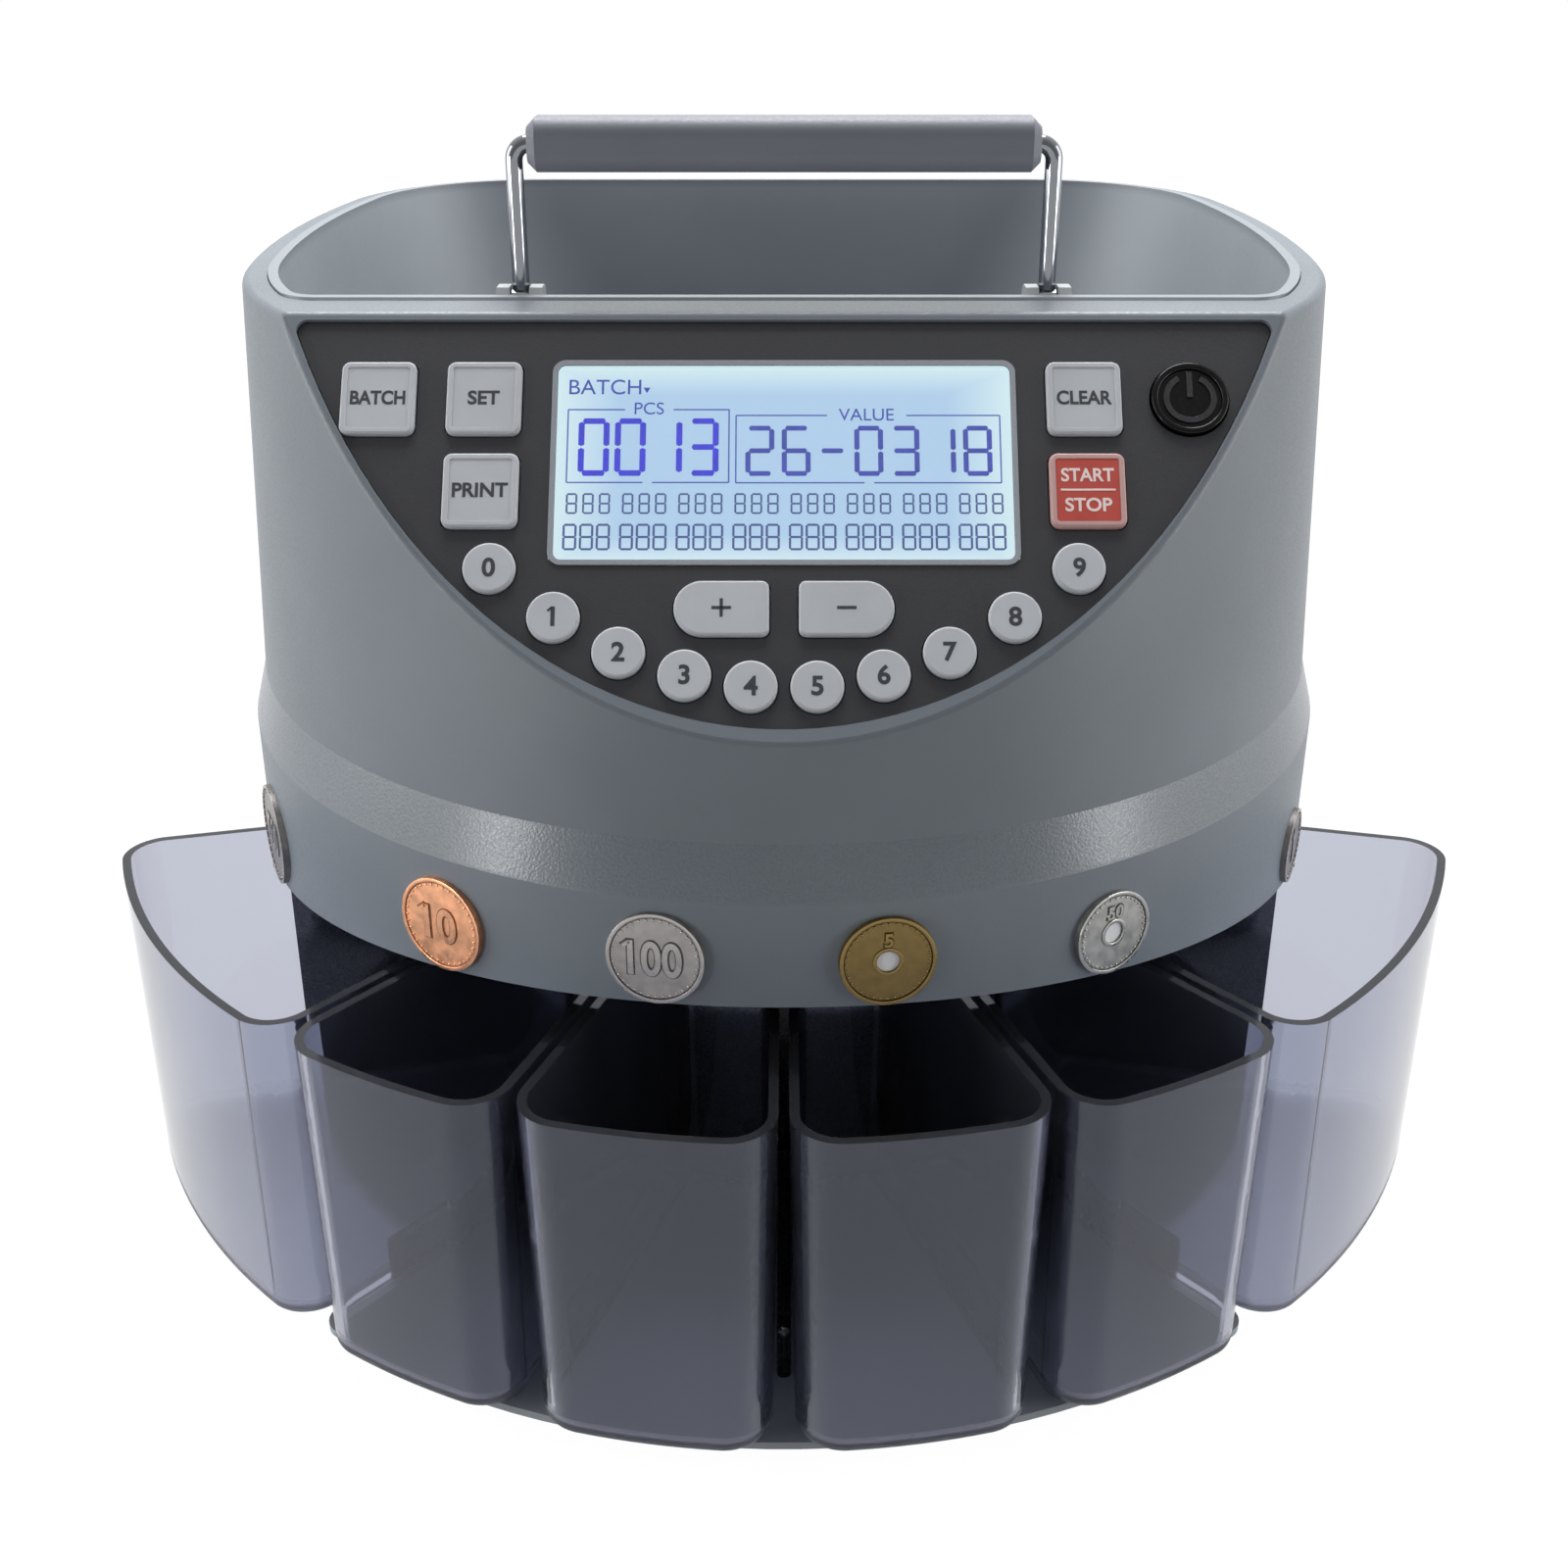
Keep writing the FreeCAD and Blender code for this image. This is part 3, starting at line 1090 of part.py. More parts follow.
def handle_clip(side):
    """A clip on the tub's front wall: two ears, with the wire's eye between them, and a web behind it."""
    low = PIVOT_Z - CLIP_LOW
    high = PIVOT_Z + EAR_R
    inner = WIRE_R + EAR_GAP
    middle = side * HANDLE_X
    back = CLIP_WEB_T / math.cos(math.radians(PANEL_TILT))
    ear_line = [(tub_wall_y(low), low), (PIVOT_Y + EAR_R, low),
                (PIVOT_Y + EAR_R, high), (tub_wall_y(high), high)]
    web_line = [(tub_wall_y(low), low), (tub_wall_y(low) + back, low),
                (tub_wall_y(RIM_Z) + back, RIM_Z), (tub_wall_y(RIM_Z), RIM_Z)]
    solids = [prism([(middle - inner, y, z) for y, z in web_line], (2 * inner, 0, 0))]
    for start in (middle - inner - EAR_T, middle + inner):
        ear = prism([(start, y, z) for y, z in ear_line], (EAR_T, 0, 0))
        tops = [e for e in ear.Edges if e.BoundBox.ZMin > high - 1e-3 and e.BoundBox.YMin > PIVOT_Y]
        solids.append(ear.makeFillet(EAR_ROUND, [e for e in tops if e.BoundBox.XLength > EAR_T / 2]))
    half = inner + EAR_T
    hole = Part.makeCylinder(PIN_R, 2 * half, V(middle - half, PIVOT_Y, PIVOT_Z), V(1, 0, 0))
    return joined(solids).cut(hole)


def handle_clips():
    return Part.makeCompound([handle_clip(-1), handle_clip(1)])


def handle_pins():
    return Part.makeCompound(pivot_rods(PIN_R, WIRE_R + EAR_GAP + EAR_T))


MAKERS = {
    "base_plate": base_plate, "rubber_feet": rubber_feet, "rear_chassis": rear_chassis, "screws": screws,
    "power_supply": power_supply, "main_board": main_board, "power_inlet": power_inlet,
    "data_port": data_port, "bin_guides": bin_guides, "sort_deck": sort_deck, "track_ring": track_ring,
    "coin_sensors": coin_sensors,
    "feed_wheel": feed_wheel, "feed_cap": feed_cap, "main_shaft": main_shaft, "shaft_bushes": shaft_bushes,
    "drive_gear": drive_gear, "motor_pinion": motor_pinion, "drive_motor": drive_motor,
    "drive_plate": drive_plate, "plate_standoffs": plate_standoffs,
    "ring_housing": ring_housing, "coin_labels": coin_labels, "upper_housing": upper_housing,
    "hopper_tub": hopper_tub, "control_panel": control_panel, "lcd_bezel": lcd_bezel, "lcd_lens": lcd_lens,
    "lcd_module": lcd_module, "key_board": key_board, "dome_switches": dome_switches,
    "handle_bail": handle_bail, "handle_grip": handle_grip, "handle_clips": handle_clips,
    "handle_pins": handle_pins,
}


def main():
    os.makedirs("parts", exist_ok=True)
    pieces = {name: maker() for name, maker in MAKERS.items()}
    for name in KEYS:
        pieces[name] = key(name)
    for index, name in enumerate(BIN_NAMES):
        pieces[name] = coin_bin(index)
    for name, shape in pieces.items():
        placed = shape.copy()
        placed.translate(V(0, AXIS_Y, 0))
        placed.exportStep("parts/%s.step" % name)
        print(name, len(placed.Solids), "solids", round(placed.Volume), "mm3", "valid", placed.isValid())


main()
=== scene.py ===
# %% [markdown]
# # A desk-top coin sorter
# The machine is a grey moulded drum with a sloped key panel, a hopper inside it and a ring of smoked
# bins under it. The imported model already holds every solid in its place, so this lesson loads it,
# gives each solid its finish, and adds what is too fine for the solids: the printed legends, the
# display's segments and the faces of the coin labels.

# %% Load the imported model
import math

import bmesh
import bpy
from mathutils import Matrix, Vector


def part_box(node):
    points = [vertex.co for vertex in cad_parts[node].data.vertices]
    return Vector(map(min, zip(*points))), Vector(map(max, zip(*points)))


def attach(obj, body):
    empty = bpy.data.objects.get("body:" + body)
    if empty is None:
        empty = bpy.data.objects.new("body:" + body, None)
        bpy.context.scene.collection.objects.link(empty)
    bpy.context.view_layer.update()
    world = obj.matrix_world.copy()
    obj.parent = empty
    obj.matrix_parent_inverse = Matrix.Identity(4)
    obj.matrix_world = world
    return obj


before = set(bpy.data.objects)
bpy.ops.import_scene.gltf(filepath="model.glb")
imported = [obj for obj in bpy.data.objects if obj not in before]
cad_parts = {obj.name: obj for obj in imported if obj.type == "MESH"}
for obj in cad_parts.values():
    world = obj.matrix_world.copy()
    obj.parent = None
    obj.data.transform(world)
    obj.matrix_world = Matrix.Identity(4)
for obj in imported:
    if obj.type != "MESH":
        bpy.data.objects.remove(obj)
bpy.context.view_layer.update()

# %% [markdown]
# ## Places
# All sizes below are in millimetres, as on a drawing, and `MM` turns them into Blender's metres. The
# drum stands on a vertical axis, and the keys lie in a plane that leans back by 39.5 degrees. A matrix
# for that plane lets every legend be drawn flat and then laid on the slope in one step.

# %% The drum's axis and the panel's plane
MM = 0.001
BEVEL_H = 13.2
RIM_H = 238.0
PANEL_TILT = 39.5
PANEL_OFF_AXIS = 77.0
ring_low, ring_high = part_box("ring_housing")
AXIS_Y = (ring_low.y + ring_high.y) / 2
RING_R = (ring_high.x - ring_low.x) / 2
CREASE_Z = ring_high.z
BEVEL_Z = CREASE_Z - BEVEL_H * MM
RIM_Z = RIM_H * MM
PANEL = (Matrix.Translation((0, AXIS_Y - PANEL_OFF_AXIS * MM, RIM_Z))
         @ Matrix.Rotation(math.radians(90 - PANEL_TILT), 4, "X"))


def panel_extent(node):
    """Lowest and highest corner of a node, seen flat in the panel's plane."""
    flat = PANEL.inverted()
    points = [flat @ v.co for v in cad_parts[node].data.vertices]
    low = Vector(min(p[i] for p in points) for i in range(3))
    high = Vector(max(p[i] for p in points) for i in range(3))
    return low, high


print("axis", round(AXIS_Y / MM, 2), "crease", round(CREASE_Z / MM, 2))

# %% [markdown]
# ## Finishes
# A finish starts from what the real material is. Colours are written as sRGB hex values, as a colour
# picker shows them, and one function turns them into the linear values that the shader works in. One
# small function adds a node with its settings and its links, so each finish reads as a short list.

# %% Colours and nodes
def linear(code):
    """A linear colour from an sRGB hex value."""
    channels = []
    for place in (0, 2, 4):
        value = int(code[place:place + 2], 16) / 255
        channels.append(value / 12.92 if value <= 0.04045 else ((value + 0.055) / 1.055) ** 2.4)
    return (*channels, 1.0)


def add_node(finish, kind, settings=(), values=(), links=()):
    """Add one node, set its options and socket values, and link its inputs."""
    node = finish.node_tree.nodes.new(kind)
    for name, value in settings:
        setattr(node, name, value)
    for socket, value in values:
        node.inputs[socket].default_value = value
    for socket, source in links:
        finish.node_tree.links.new(source, node.inputs[socket])
    return node


def new_finish(name, values):
    """A material with its shader's own values set, and the shader."""
    finish = bpy.data.materials.new(name)
    finish.use_nodes = True
    shader = finish.node_tree.nodes["Principled BSDF"]
    for socket, value in values:
        shader.inputs[socket].default_value = value
    return finish, shader


def link(finish, source, target):
    """Link one socket to another."""
    finish.node_tree.links.new(source, target)


PATCHES = (0.3, 0.7)
MARKS = (0.35, 0.65)


def ramp(finish, source, low, high, start, end):
    """Spread a pattern's value between two colours: softly for patches, more sharply for marks."""
    node = add_node(finish, "ShaderNodeValToRGB", links=[("Fac", source)])
    node.color_ramp.elements[0].position = start
    node.color_ramp.elements[0].color = low
    node.color_ramp.elements[1].position = end
    node.color_ramp.elements[1].color = high
    return node.outputs["Color"]


def grey(value):
    """A linear grey."""
    return (value, value, value, 1.0)


print("colour check", [round(v, 3) for v in linear("7a828a")])

# %% [markdown]
# ## Moulded plastics
# The drum, the chassis and the panel are moulded ABS. The mould is spark-eroded, which leaves a fine
# dull grain that breaks up reflections. The real grain is about 0.15 mm, too fine to show in a picture
# of the whole machine, so it is drawn a few times coarser. Large soft patches of a slightly different
# tone keep a big surface from looking like one flat colour.

# %% One recipe for moulded plastic
PLASTIC_IOR = 1.53
GRAIN_STRENGTH = 0.5
SHINIER, DULLER = 0.06, 0.08


def moulded(name, dark, light, roughness, grain_mm, grain_depth_mm, patch_mm=45.0):
    """A plastic between two tones, with a grain in its gloss and its surface."""
    finish, shader = new_finish(name, [("IOR", PLASTIC_IOR)])
    place = add_node(finish, "ShaderNodeTexCoord").outputs["Object"]
    patch = add_node(finish, "ShaderNodeTexNoise", values=[("Scale", 1 / (patch_mm * MM)), ("Detail", 4.0)],
                     links=[("Vector", place)])
    link(finish, ramp(finish, patch.outputs["Fac"], linear(dark), linear(light), *PATCHES),
         shader.inputs["Base Color"])
    grain = add_node(finish, "ShaderNodeTexNoise", values=[("Scale", 1 / (grain_mm * MM)), ("Detail", 2.0)],
                     links=[("Vector", place)])
    dull = ramp(finish, grain.outputs["Fac"], grey(roughness - SHINIER), grey(roughness + DULLER), *MARKS)
    link(finish, dull, shader.inputs["Roughness"])
    bump = add_node(finish, "ShaderNodeBump", links=[("Height", grain.outputs["Fac"])],
                    values=[("Strength", GRAIN_STRENGTH), ("Distance", grain_depth_mm * MM)])
    link(finish, bump.outputs["Normal"], shader.inputs["Normal"])
    return finish


# Drum: blue-grey ABS from a satin mould, so lamps show on it as broad soft bands.
# The drum is painted a little darker than the band, though both are one plastic: painted shade on the drum.
HOUSING = moulded("abs_blue_grey", "6d757d", "757d85", 0.42, 0.55, 0.05)
# Hopper and base plate: the drum's same plastic painted paler, as painted light for what lies in the drum's
# shade.
TUB = moulded("abs_tub_grey_painted_light", "9ca4ab", "a4acb3", 0.42, 0.7, 0.04)
# Panel: charcoal ABS, dull enough to turn dark grey where light falls on it.
PANEL_BLACK = moulded("abs_charcoal", "212226", "26272b", 0.5, 0.6, 0.05)
# Chassis and bin guides: black ABS from a polished mould, with soft reflections and little grain.
CHASSIS = moulded("abs_black", "0f1013", "15161a", 0.26, 0.6, 0.012)
# Wheel, track and gear: dark nylon, slightly waxy.
NYLON = moulded("nylon_dark", "1f2124", "282a2e", 0.4, 0.9, 0.04)
# Keys: grey silicone rubber, matt, with small patches of tone.
KEY_GREY = moulded("silicone_grey", "bcc0c6", "c3c7cd", 0.5, 0.8, 0.03, 12.0)
# Power key: gloss black ABS under a thin lacquer of low index, which keeps it darker than the panel.
LACQUER_IOR = 1.3
KEY_BLACK = moulded("abs_gloss_black", "040405", "060608", 0.24, 1.2, 0.01)
KEY_BLACK.node_tree.nodes["Principled BSDF"].inputs["IOR"].default_value = LACQUER_IOR
# Grip: mid-grey ABS, matt from handling.
GRIP_GREY = moulded("abs_grip_grey", "737680", "7b7e88", 0.56, 0.6, 0.04)
# Handle clips: pale acetal, smooth and a little translucent to the eye.
CLIP_GREY = moulded("acetal_light_grey", "a9aeb3", "b1b6bb", 0.4, 0.7, 0.03, 10.0)
print("plastics", len(bpy.data.materials))

# %% [markdown]
# ## The hopper's lip
# The hopper is a separate moulding, rubbed dull by coins, and painted paler than the drum as painted light
# for its shaded inside.
# Only its lip, which shows lit along the drum's rim, takes a darker tone, so a mask by height swaps the
# colour over its last two millimetres.

# %% Darker lip on the tub
# The lip is painted less pale than the hopper's painted-light inside.
LIP_H = 2.0
tub_shader = TUB.node_tree.nodes["Principled BSDF"]
tub_place = add_node(TUB, "ShaderNodeTexCoord").outputs["Object"]
tub_height = add_node(TUB, "ShaderNodeSeparateXYZ", links=[("Vector", tub_place)]).outputs["Z"]
near_lip = add_node(TUB, "ShaderNodeMapRange", links=[("Value", tub_height)],
                    values=[("From Min", RIM_Z - LIP_H * MM), ("From Max", RIM_Z)])
tub_colour = add_node(TUB, "ShaderNodeMixRGB", values=[("Color2", linear("8a9198"))],
                      links=[("Fac", near_lip.outputs["Result"]),
                             ("Color1", tub_shader.inputs["Base Color"].links[0].from_socket)])
link(TUB, tub_colour.outputs["Color"], tub_shader.inputs["Base Color"])
print("lip from", round((RIM_Z - LIP_H * MM) / MM, 1), "to", round(RIM_Z / MM, 1))

# %% [markdown]
# ## The grainy bevel
# Above the coin labels, the band turns in over a bevel whose texture is much coarser than the rest,
# and it sparkles where it catches the light. The band is one solid, so the coarse grain is masked by
# height: it fades in at the bevel's lower edge and out again at the seam under the drum.

# %% Band with a sparkling bevel
BEVEL_FADE = 0.8 * MM
GRIT_MM = 0.7
GRIT_DEPTH = 0.032
GRIT_STRENGTH = 0.9
GRIT_ROUNDING = 0.4
BEVEL_SHINE = 0.6
# The band is the drum's plastic in a lighter tone; the drum above it is painted darker, as painted shade.
BAND = moulded("abs_blue_grey_band", "737b83", "7b838b", 0.46, 0.55, 0.05)
band_shader = BAND.node_tree.nodes["Principled BSDF"]
band_place = add_node(BAND, "ShaderNodeTexCoord").outputs["Object"]
height = add_node(BAND, "ShaderNodeSeparateXYZ", links=[("Vector", band_place)]).outputs["Z"]
on_bevel = add_node(BAND, "ShaderNodeMapRange", links=[("Value", height)],
                    values=[("From Min", BEVEL_Z - BEVEL_FADE), ("From Max", BEVEL_Z + BEVEL_FADE)])
grit = add_node(BAND, "ShaderNodeTexVoronoi", [("feature", "SMOOTH_F1")],
                [("Scale", 1 / (GRIT_MM * MM)), ("Smoothness", GRIT_ROUNDING)], [("Vector", band_place)])
grit_height = add_node(BAND, "ShaderNodeMath", [("operation", "MULTIPLY")],
                       links=[(0, grit.outputs["Distance"]), (1, on_bevel.outputs["Result"])])
grit_bump = add_node(BAND, "ShaderNodeBump", links=[("Height", grit_height.outputs["Value"])],
                     values=[("Strength", GRIT_STRENGTH), ("Distance", GRIT_DEPTH * MM)])
fine_bump = [n for n in BAND.node_tree.nodes if n.type == "BUMP" and n != grit_bump][0]
link(BAND, fine_bump.outputs["Normal"], grit_bump.inputs["Normal"])
link(BAND, grit_bump.outputs["Normal"], band_shader.inputs["Normal"])
band_dull = band_shader.inputs["Roughness"].links[0].from_socket
shine = add_node(BAND, "ShaderNodeMapRange", values=[("To Min", 1.0), ("To Max", BEVEL_SHINE)],
                 links=[("Value", on_bevel.outputs["Result"])])
band_rough = add_node(BAND, "ShaderNodeMath", [("operation", "MULTIPLY")],
                      links=[(0, band_dull), (1, shine.outputs["Result"])])
link(BAND, band_rough.outputs[0], band_shader.inputs["Roughness"])
print("bevel from", round(BEVEL_Z / MM, 1), "to", round(CREASE_Z / MM, 1))

# %% [markdown]
# ## Smoked bins
# The bins are clear styrene with a smoky lavender tint. A shell of real thickness with a tinted inside
# gives the look by itself: one wall is pale, two walls are darker, and along the rims the eye looks
# down the depth of a wall, so they turn nearly black. The tint is therefore an absorption in the
# volume and not a surface colour. Falling coins scuff the floor of a bin, so its last few millimetres
# are dull: they scatter light and show paler through the wall in front.

# %% Smoked styrene
SMOKE_IOR = 1.54
SMOKE_DENSITY = 135.0
SMOKE_GLOSS = (0.03, 0.07)
FLOW_MM = 35.0
SCUFF_H = 4.0
SCUFF_FADE = 0.5
SCUFF_ROUGH = 0.5
SMOKE, smoke_shader = new_finish("styrene_smoked", [("Transmission Weight", 0.98), ("IOR", SMOKE_IOR),
                                                    ("Base Color", linear("dadde9")),
                                                    ("Specular Tint", linear("e9efff"))])
smoke_place = add_node(SMOKE, "ShaderNodeTexCoord").outputs["Object"]
flow = add_node(SMOKE, "ShaderNodeTexNoise", values=[("Scale", 1 / (FLOW_MM * MM)), ("Detail", 2.0)],
                links=[("Vector", smoke_place)])
smoke_gloss = ramp(SMOKE, flow.outputs["Fac"], grey(SMOKE_GLOSS[0]), grey(SMOKE_GLOSS[1]), *MARKS)
scuffed_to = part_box("coin_bin_3")[0].z + SCUFF_H * MM
smoke_height = add_node(SMOKE, "ShaderNodeSeparateXYZ", links=[("Vector", smoke_place)]).outputs["Z"]
on_floor = add_node(SMOKE, "ShaderNodeMapRange", links=[("Value", smoke_height)],
                    values=[("From Min", scuffed_to), ("From Max", scuffed_to + SCUFF_FADE * MM),
                            ("To Min", SCUFF_ROUGH), ("To Max", 0.0)])
smoke_dull = add_node(SMOKE, "ShaderNodeMath", [("operation", "MAXIMUM")],
                      links=[(0, smoke_gloss), (1, on_floor.outputs["Result"])])
link(SMOKE, smoke_dull.outputs[0], smoke_shader.inputs["Roughness"])
tint = add_node(SMOKE, "ShaderNodeVolumeAbsorption",
                values=[("Color", linear("83869a")), ("Density", SMOKE_DENSITY)])
link(SMOKE, tint.outputs["Volume"], SMOKE.node_tree.nodes["Material Output"].inputs["Volume"])
print("bin floors scuffed up to", round(scuffed_to / MM, 1))

# %% [markdown]
# ## Metals, rubber and boards
# Chrome on the handle's wire, zinc on the sheet-metal and screws, rolled aluminium for the sort deck,
# rubbed grey by coins, and sintered bronze for the bushes. Each metal has its own scale of fine marks in
# the roughness. The feet are rubber, and the boards are glass fibre under green lacquer.

# %% One recipe for metals
def metal(name, colour, dull, bright, mark_mm, stretch=(1, 1, 1)):
    """A metal whose gloss changes along fine marks, which may be stretched along one axis."""
    finish, shader = new_finish(name, [("Metallic", 1.0), ("Base Color", linear(colour))])
    place = add_node(finish, "ShaderNodeTexCoord").outputs["Object"]
    turned = add_node(finish, "ShaderNodeMapping", values=[("Scale", stretch)], links=[("Vector", place)])
    marks = add_node(finish, "ShaderNodeTexNoise", values=[("Scale", 1 / (mark_mm * MM)), ("Detail", 3.0)],
                     links=[("Vector", turned.outputs["Vector"])])
    link(finish, ramp(finish, marks.outputs["Fac"], grey(bright), grey(dull), *MARKS),
         shader.inputs["Roughness"])
    return finish


CHROME = metal("chrome_plate", "85888d", 0.12, 0.06, 6.0)
ZINC = metal("zinc_plate", "7e8084", 0.5, 0.36, 3.0)
DECK = metal("aluminium_rolled", "6c6f73", 0.55, 0.42, 1.2, (0.08, 1, 1))
BRONZE = metal("bronze_sintered", "9c7a45", 0.55, 0.42, 0.8)
MOTOR = metal("steel_can", "8d8f93", 0.4, 0.25, 1.0, (1, 1, 0.1))
RUBBER = moulded("rubber_foot", "141415", "1b1b1c", 0.8, 0.9, 0.06, 8.0)
BOARD = moulded("board_green", "123d24", "18492c", 0.35, 1.5, 0.02, 9.0)
print("materials", len(bpy.data.materials))

# %% [markdown]
# ## Dressing the solids
# Every solid keeps its shape and only changes its material slot. A list of finishes with the names of
# the pieces that wear them is easier to check than one line for each piece.

# %% Finishes on the solids
def dress(finish, *names):
    """Put a finish in the only material slot of each named solid."""
    for name in names:
        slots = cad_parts[name].data.materials
        slots.clear()
        slots.append(finish)


DIGIT_KEYS = ["key_digit_%d" % number for number in range(10)]
BINS = ["coin_bin_%d" % number for number in range(1, 7)]
dress(HOUSING, "upper_housing")
dress(GRIP_GREY, "handle_grip")
dress(BAND, "ring_housing")
dress(TUB, "hopper_tub", "base_plate")
dress(PANEL_BLACK, "control_panel")
dress(CHASSIS, "rear_chassis", "bin_guides", "coin_sensors", "power_inlet")
dress(NYLON, "feed_wheel", "track_ring", "drive_gear")
dress(KEY_GREY, "key_batch", "key_set", "key_print", "key_clear", "key_plus", "key_minus", *DIGIT_KEYS)
dress(KEY_BLACK, "key_power")
dress(CLIP_GREY, "handle_clips")
dress(SMOKE, *BINS)
dress(CHROME, "handle_bail")
dress(ZINC, "screws", "feed_cap", "main_shaft", "motor_pinion", "drive_plate", "plate_standoffs", "data_port",
      "handle_pins", "power_supply", "dome_switches")
dress(DECK, "sort_deck")
dress(BRONZE, "shaft_bushes")
dress(MOTOR, "drive_motor")
dress(RUBBER, "rubber_feet")
dress(BOARD, "main_board", "key_board")
print("dressed", len([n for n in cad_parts.values() if n.data.materials]))

# %% [markdown]
# ## Modelling by hand, in code
# Each new piece starts from a primitive, is shaped in edit mode and is then laid in its place. Operators
# act on whatever is selected, so these helpers first clear the selection, and a test on a point's place
# picks what the next operator works on. A finished piece has its place in its mesh, rides on the body
# of the solid that carries it, and wears its finish in its one material slot.

# %% Selecting, starting and settling a piece
def only(*pieces):
    """Select these objects and no others."""
    bpy.ops.object.select_all(action="DESELECT")
    for piece in pieces:
        piece.select_set(True)
    bpy.context.view_layer.objects.active = pieces[0]


def pick(piece, chosen):
    """In edit mode, select the points whose place passes a test."""
    points = bmesh.from_edit_mesh(piece.data)
    for point in points.verts:
        point.select_set(chosen(point.co))
    points.select_flush_mode()
    bmesh.update_edit_mesh(piece.data)


def start(name):
    """The primitive that was just added, named and alone in the selection."""
    piece = bpy.context.object
    piece.name = name
    only(piece)
    return piece


def settle(piece, matrix, body, finish):
    """Lay a piece in its place, apply that place to its mesh, and let it ride on a body."""
    only(piece)
    piece.matrix_world = matrix @ piece.matrix_world
    bpy.ops.object.transform_apply(location=True, rotation=True, scale=True)
    piece.data.materials.clear()
    piece.data.materials.append(finish)
    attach(piece, body)
    return piece


def apply_all(piece):
    """Apply every modifier of a piece."""
    only(piece)
    for modifier in list(piece.modifiers):
        bpy.ops.object.modifier_apply(modifier=modifier.name)


def merged(name, pieces):
    """Join pieces into one object."""
    only(*pieces)
    bpy.ops.object.join()
    return start(name)


def copy_of(piece, matrix):
    """A copy with its own mesh, at another place."""
    twin = piece.copy()
    twin.data = piece.data.copy()
    bpy.context.scene.collection.objects.link(twin)
    twin.matrix_world = matrix
    return twin


def at(x, y, z=0.0):
    """A move in millimetres."""
    return Matrix.Translation((x * MM, y * MM, z * MM))


# %% [markdown]
# ## Plates, rings and letters
# Most of the fine pieces are flat: a plate with round corners, a ring, or a word. The plate is a cube
# whose upright edges are bevelled. The ring is a circle whose edge is extruded, shrunk towards the
# middle and raised. The words are Blender's own letters, turned into a mesh and brought to size.

# %% Plates and rings
CORNER_STEPS = 6


def slab(name, width, depth, height, corner):
    """A flat plate with round corners and its foot at z 0."""
    bpy.ops.mesh.primitive_cube_add(size=1, location=(0, 0, height * MM / 2),
                                    scale=(width * MM, depth * MM, height * MM))
    piece = start(name)
    bpy.ops.object.transform_apply(location=True, rotation=True, scale=True)
    bpy.ops.object.mode_set(mode="EDIT")
    bpy.ops.mesh.select_all(action="DESELECT")
    sides = bmesh.from_edit_mesh(piece.data)
    for line in sides.edges:
        line.select_set(abs(line.verts[0].co.z - line.verts[1].co.z) > height * MM / 2)
    bmesh.update_edit_mesh(piece.data)
    bpy.ops.mesh.bevel(offset=corner * MM, segments=CORNER_STEPS)
    bpy.ops.object.mode_set(mode="OBJECT")
    return piece


def flat_ring(name, outer, inner, points=96):
    """A ring of faces at z 0, left in edit mode."""
    bpy.ops.mesh.primitive_circle_add(vertices=points, radius=outer * MM, fill_type="NOTHING")
    piece = start(name)
    bpy.ops.object.mode_set(mode="EDIT")
    bpy.ops.mesh.select_all(action="SELECT")
    bpy.ops.mesh.extrude_edges_move()
    bpy.ops.transform.resize(value=(inner / outer, inner / outer, 1), center_override=(0, 0, 0))
    return piece


def thicken(height):
    """Raise the sheet in edit mode to a plate, turn its faces outwards and leave edit mode."""
    bpy.ops.mesh.select_all(action="SELECT")
    bpy.ops.mesh.normals_make_consistent(inside=False)
    bpy.ops.mesh.extrude_region_move(TRANSFORM_OT_translate={"value": (0, 0, height * MM)})
    bpy.ops.mesh.select_all(action="SELECT")
    bpy.ops.mesh.normals_make_consistent(inside=False)
    bpy.ops.object.mode_set(mode="OBJECT")


def soften(piece, width, angle=50):
    """Round the edges that turn by more than an angle."""
    soft = piece.modifiers.new("soft_edge", "BEVEL")
    soft.width = width * MM
    soft.segments = 2
    soft.limit_method = "ANGLE"
    soft.angle_limit = math.radians(angle)
    apply_all(piece)


def ring(name, outer, inner, height, edge, points=96):
    """A ring with soft edges and its foot at z 0."""
    piece = flat_ring(name, outer, inner, points)
    thicken(height)
    soften(piece, edge)
    bpy.ops.object.shade_smooth_by_angle(angle=math.radians(40))
    return piece


# %% Letters
FLAG_LEAN = 38
# The flag's length, stroke, corner, reach to the left and height, as shares of the figure's height.
FLAG_L, FLAG_STROKE, FLAG_CORNER, FLAG_LEFT, FLAG_UP = 0.3, 0.1, 0.02, 0.04, 0.38


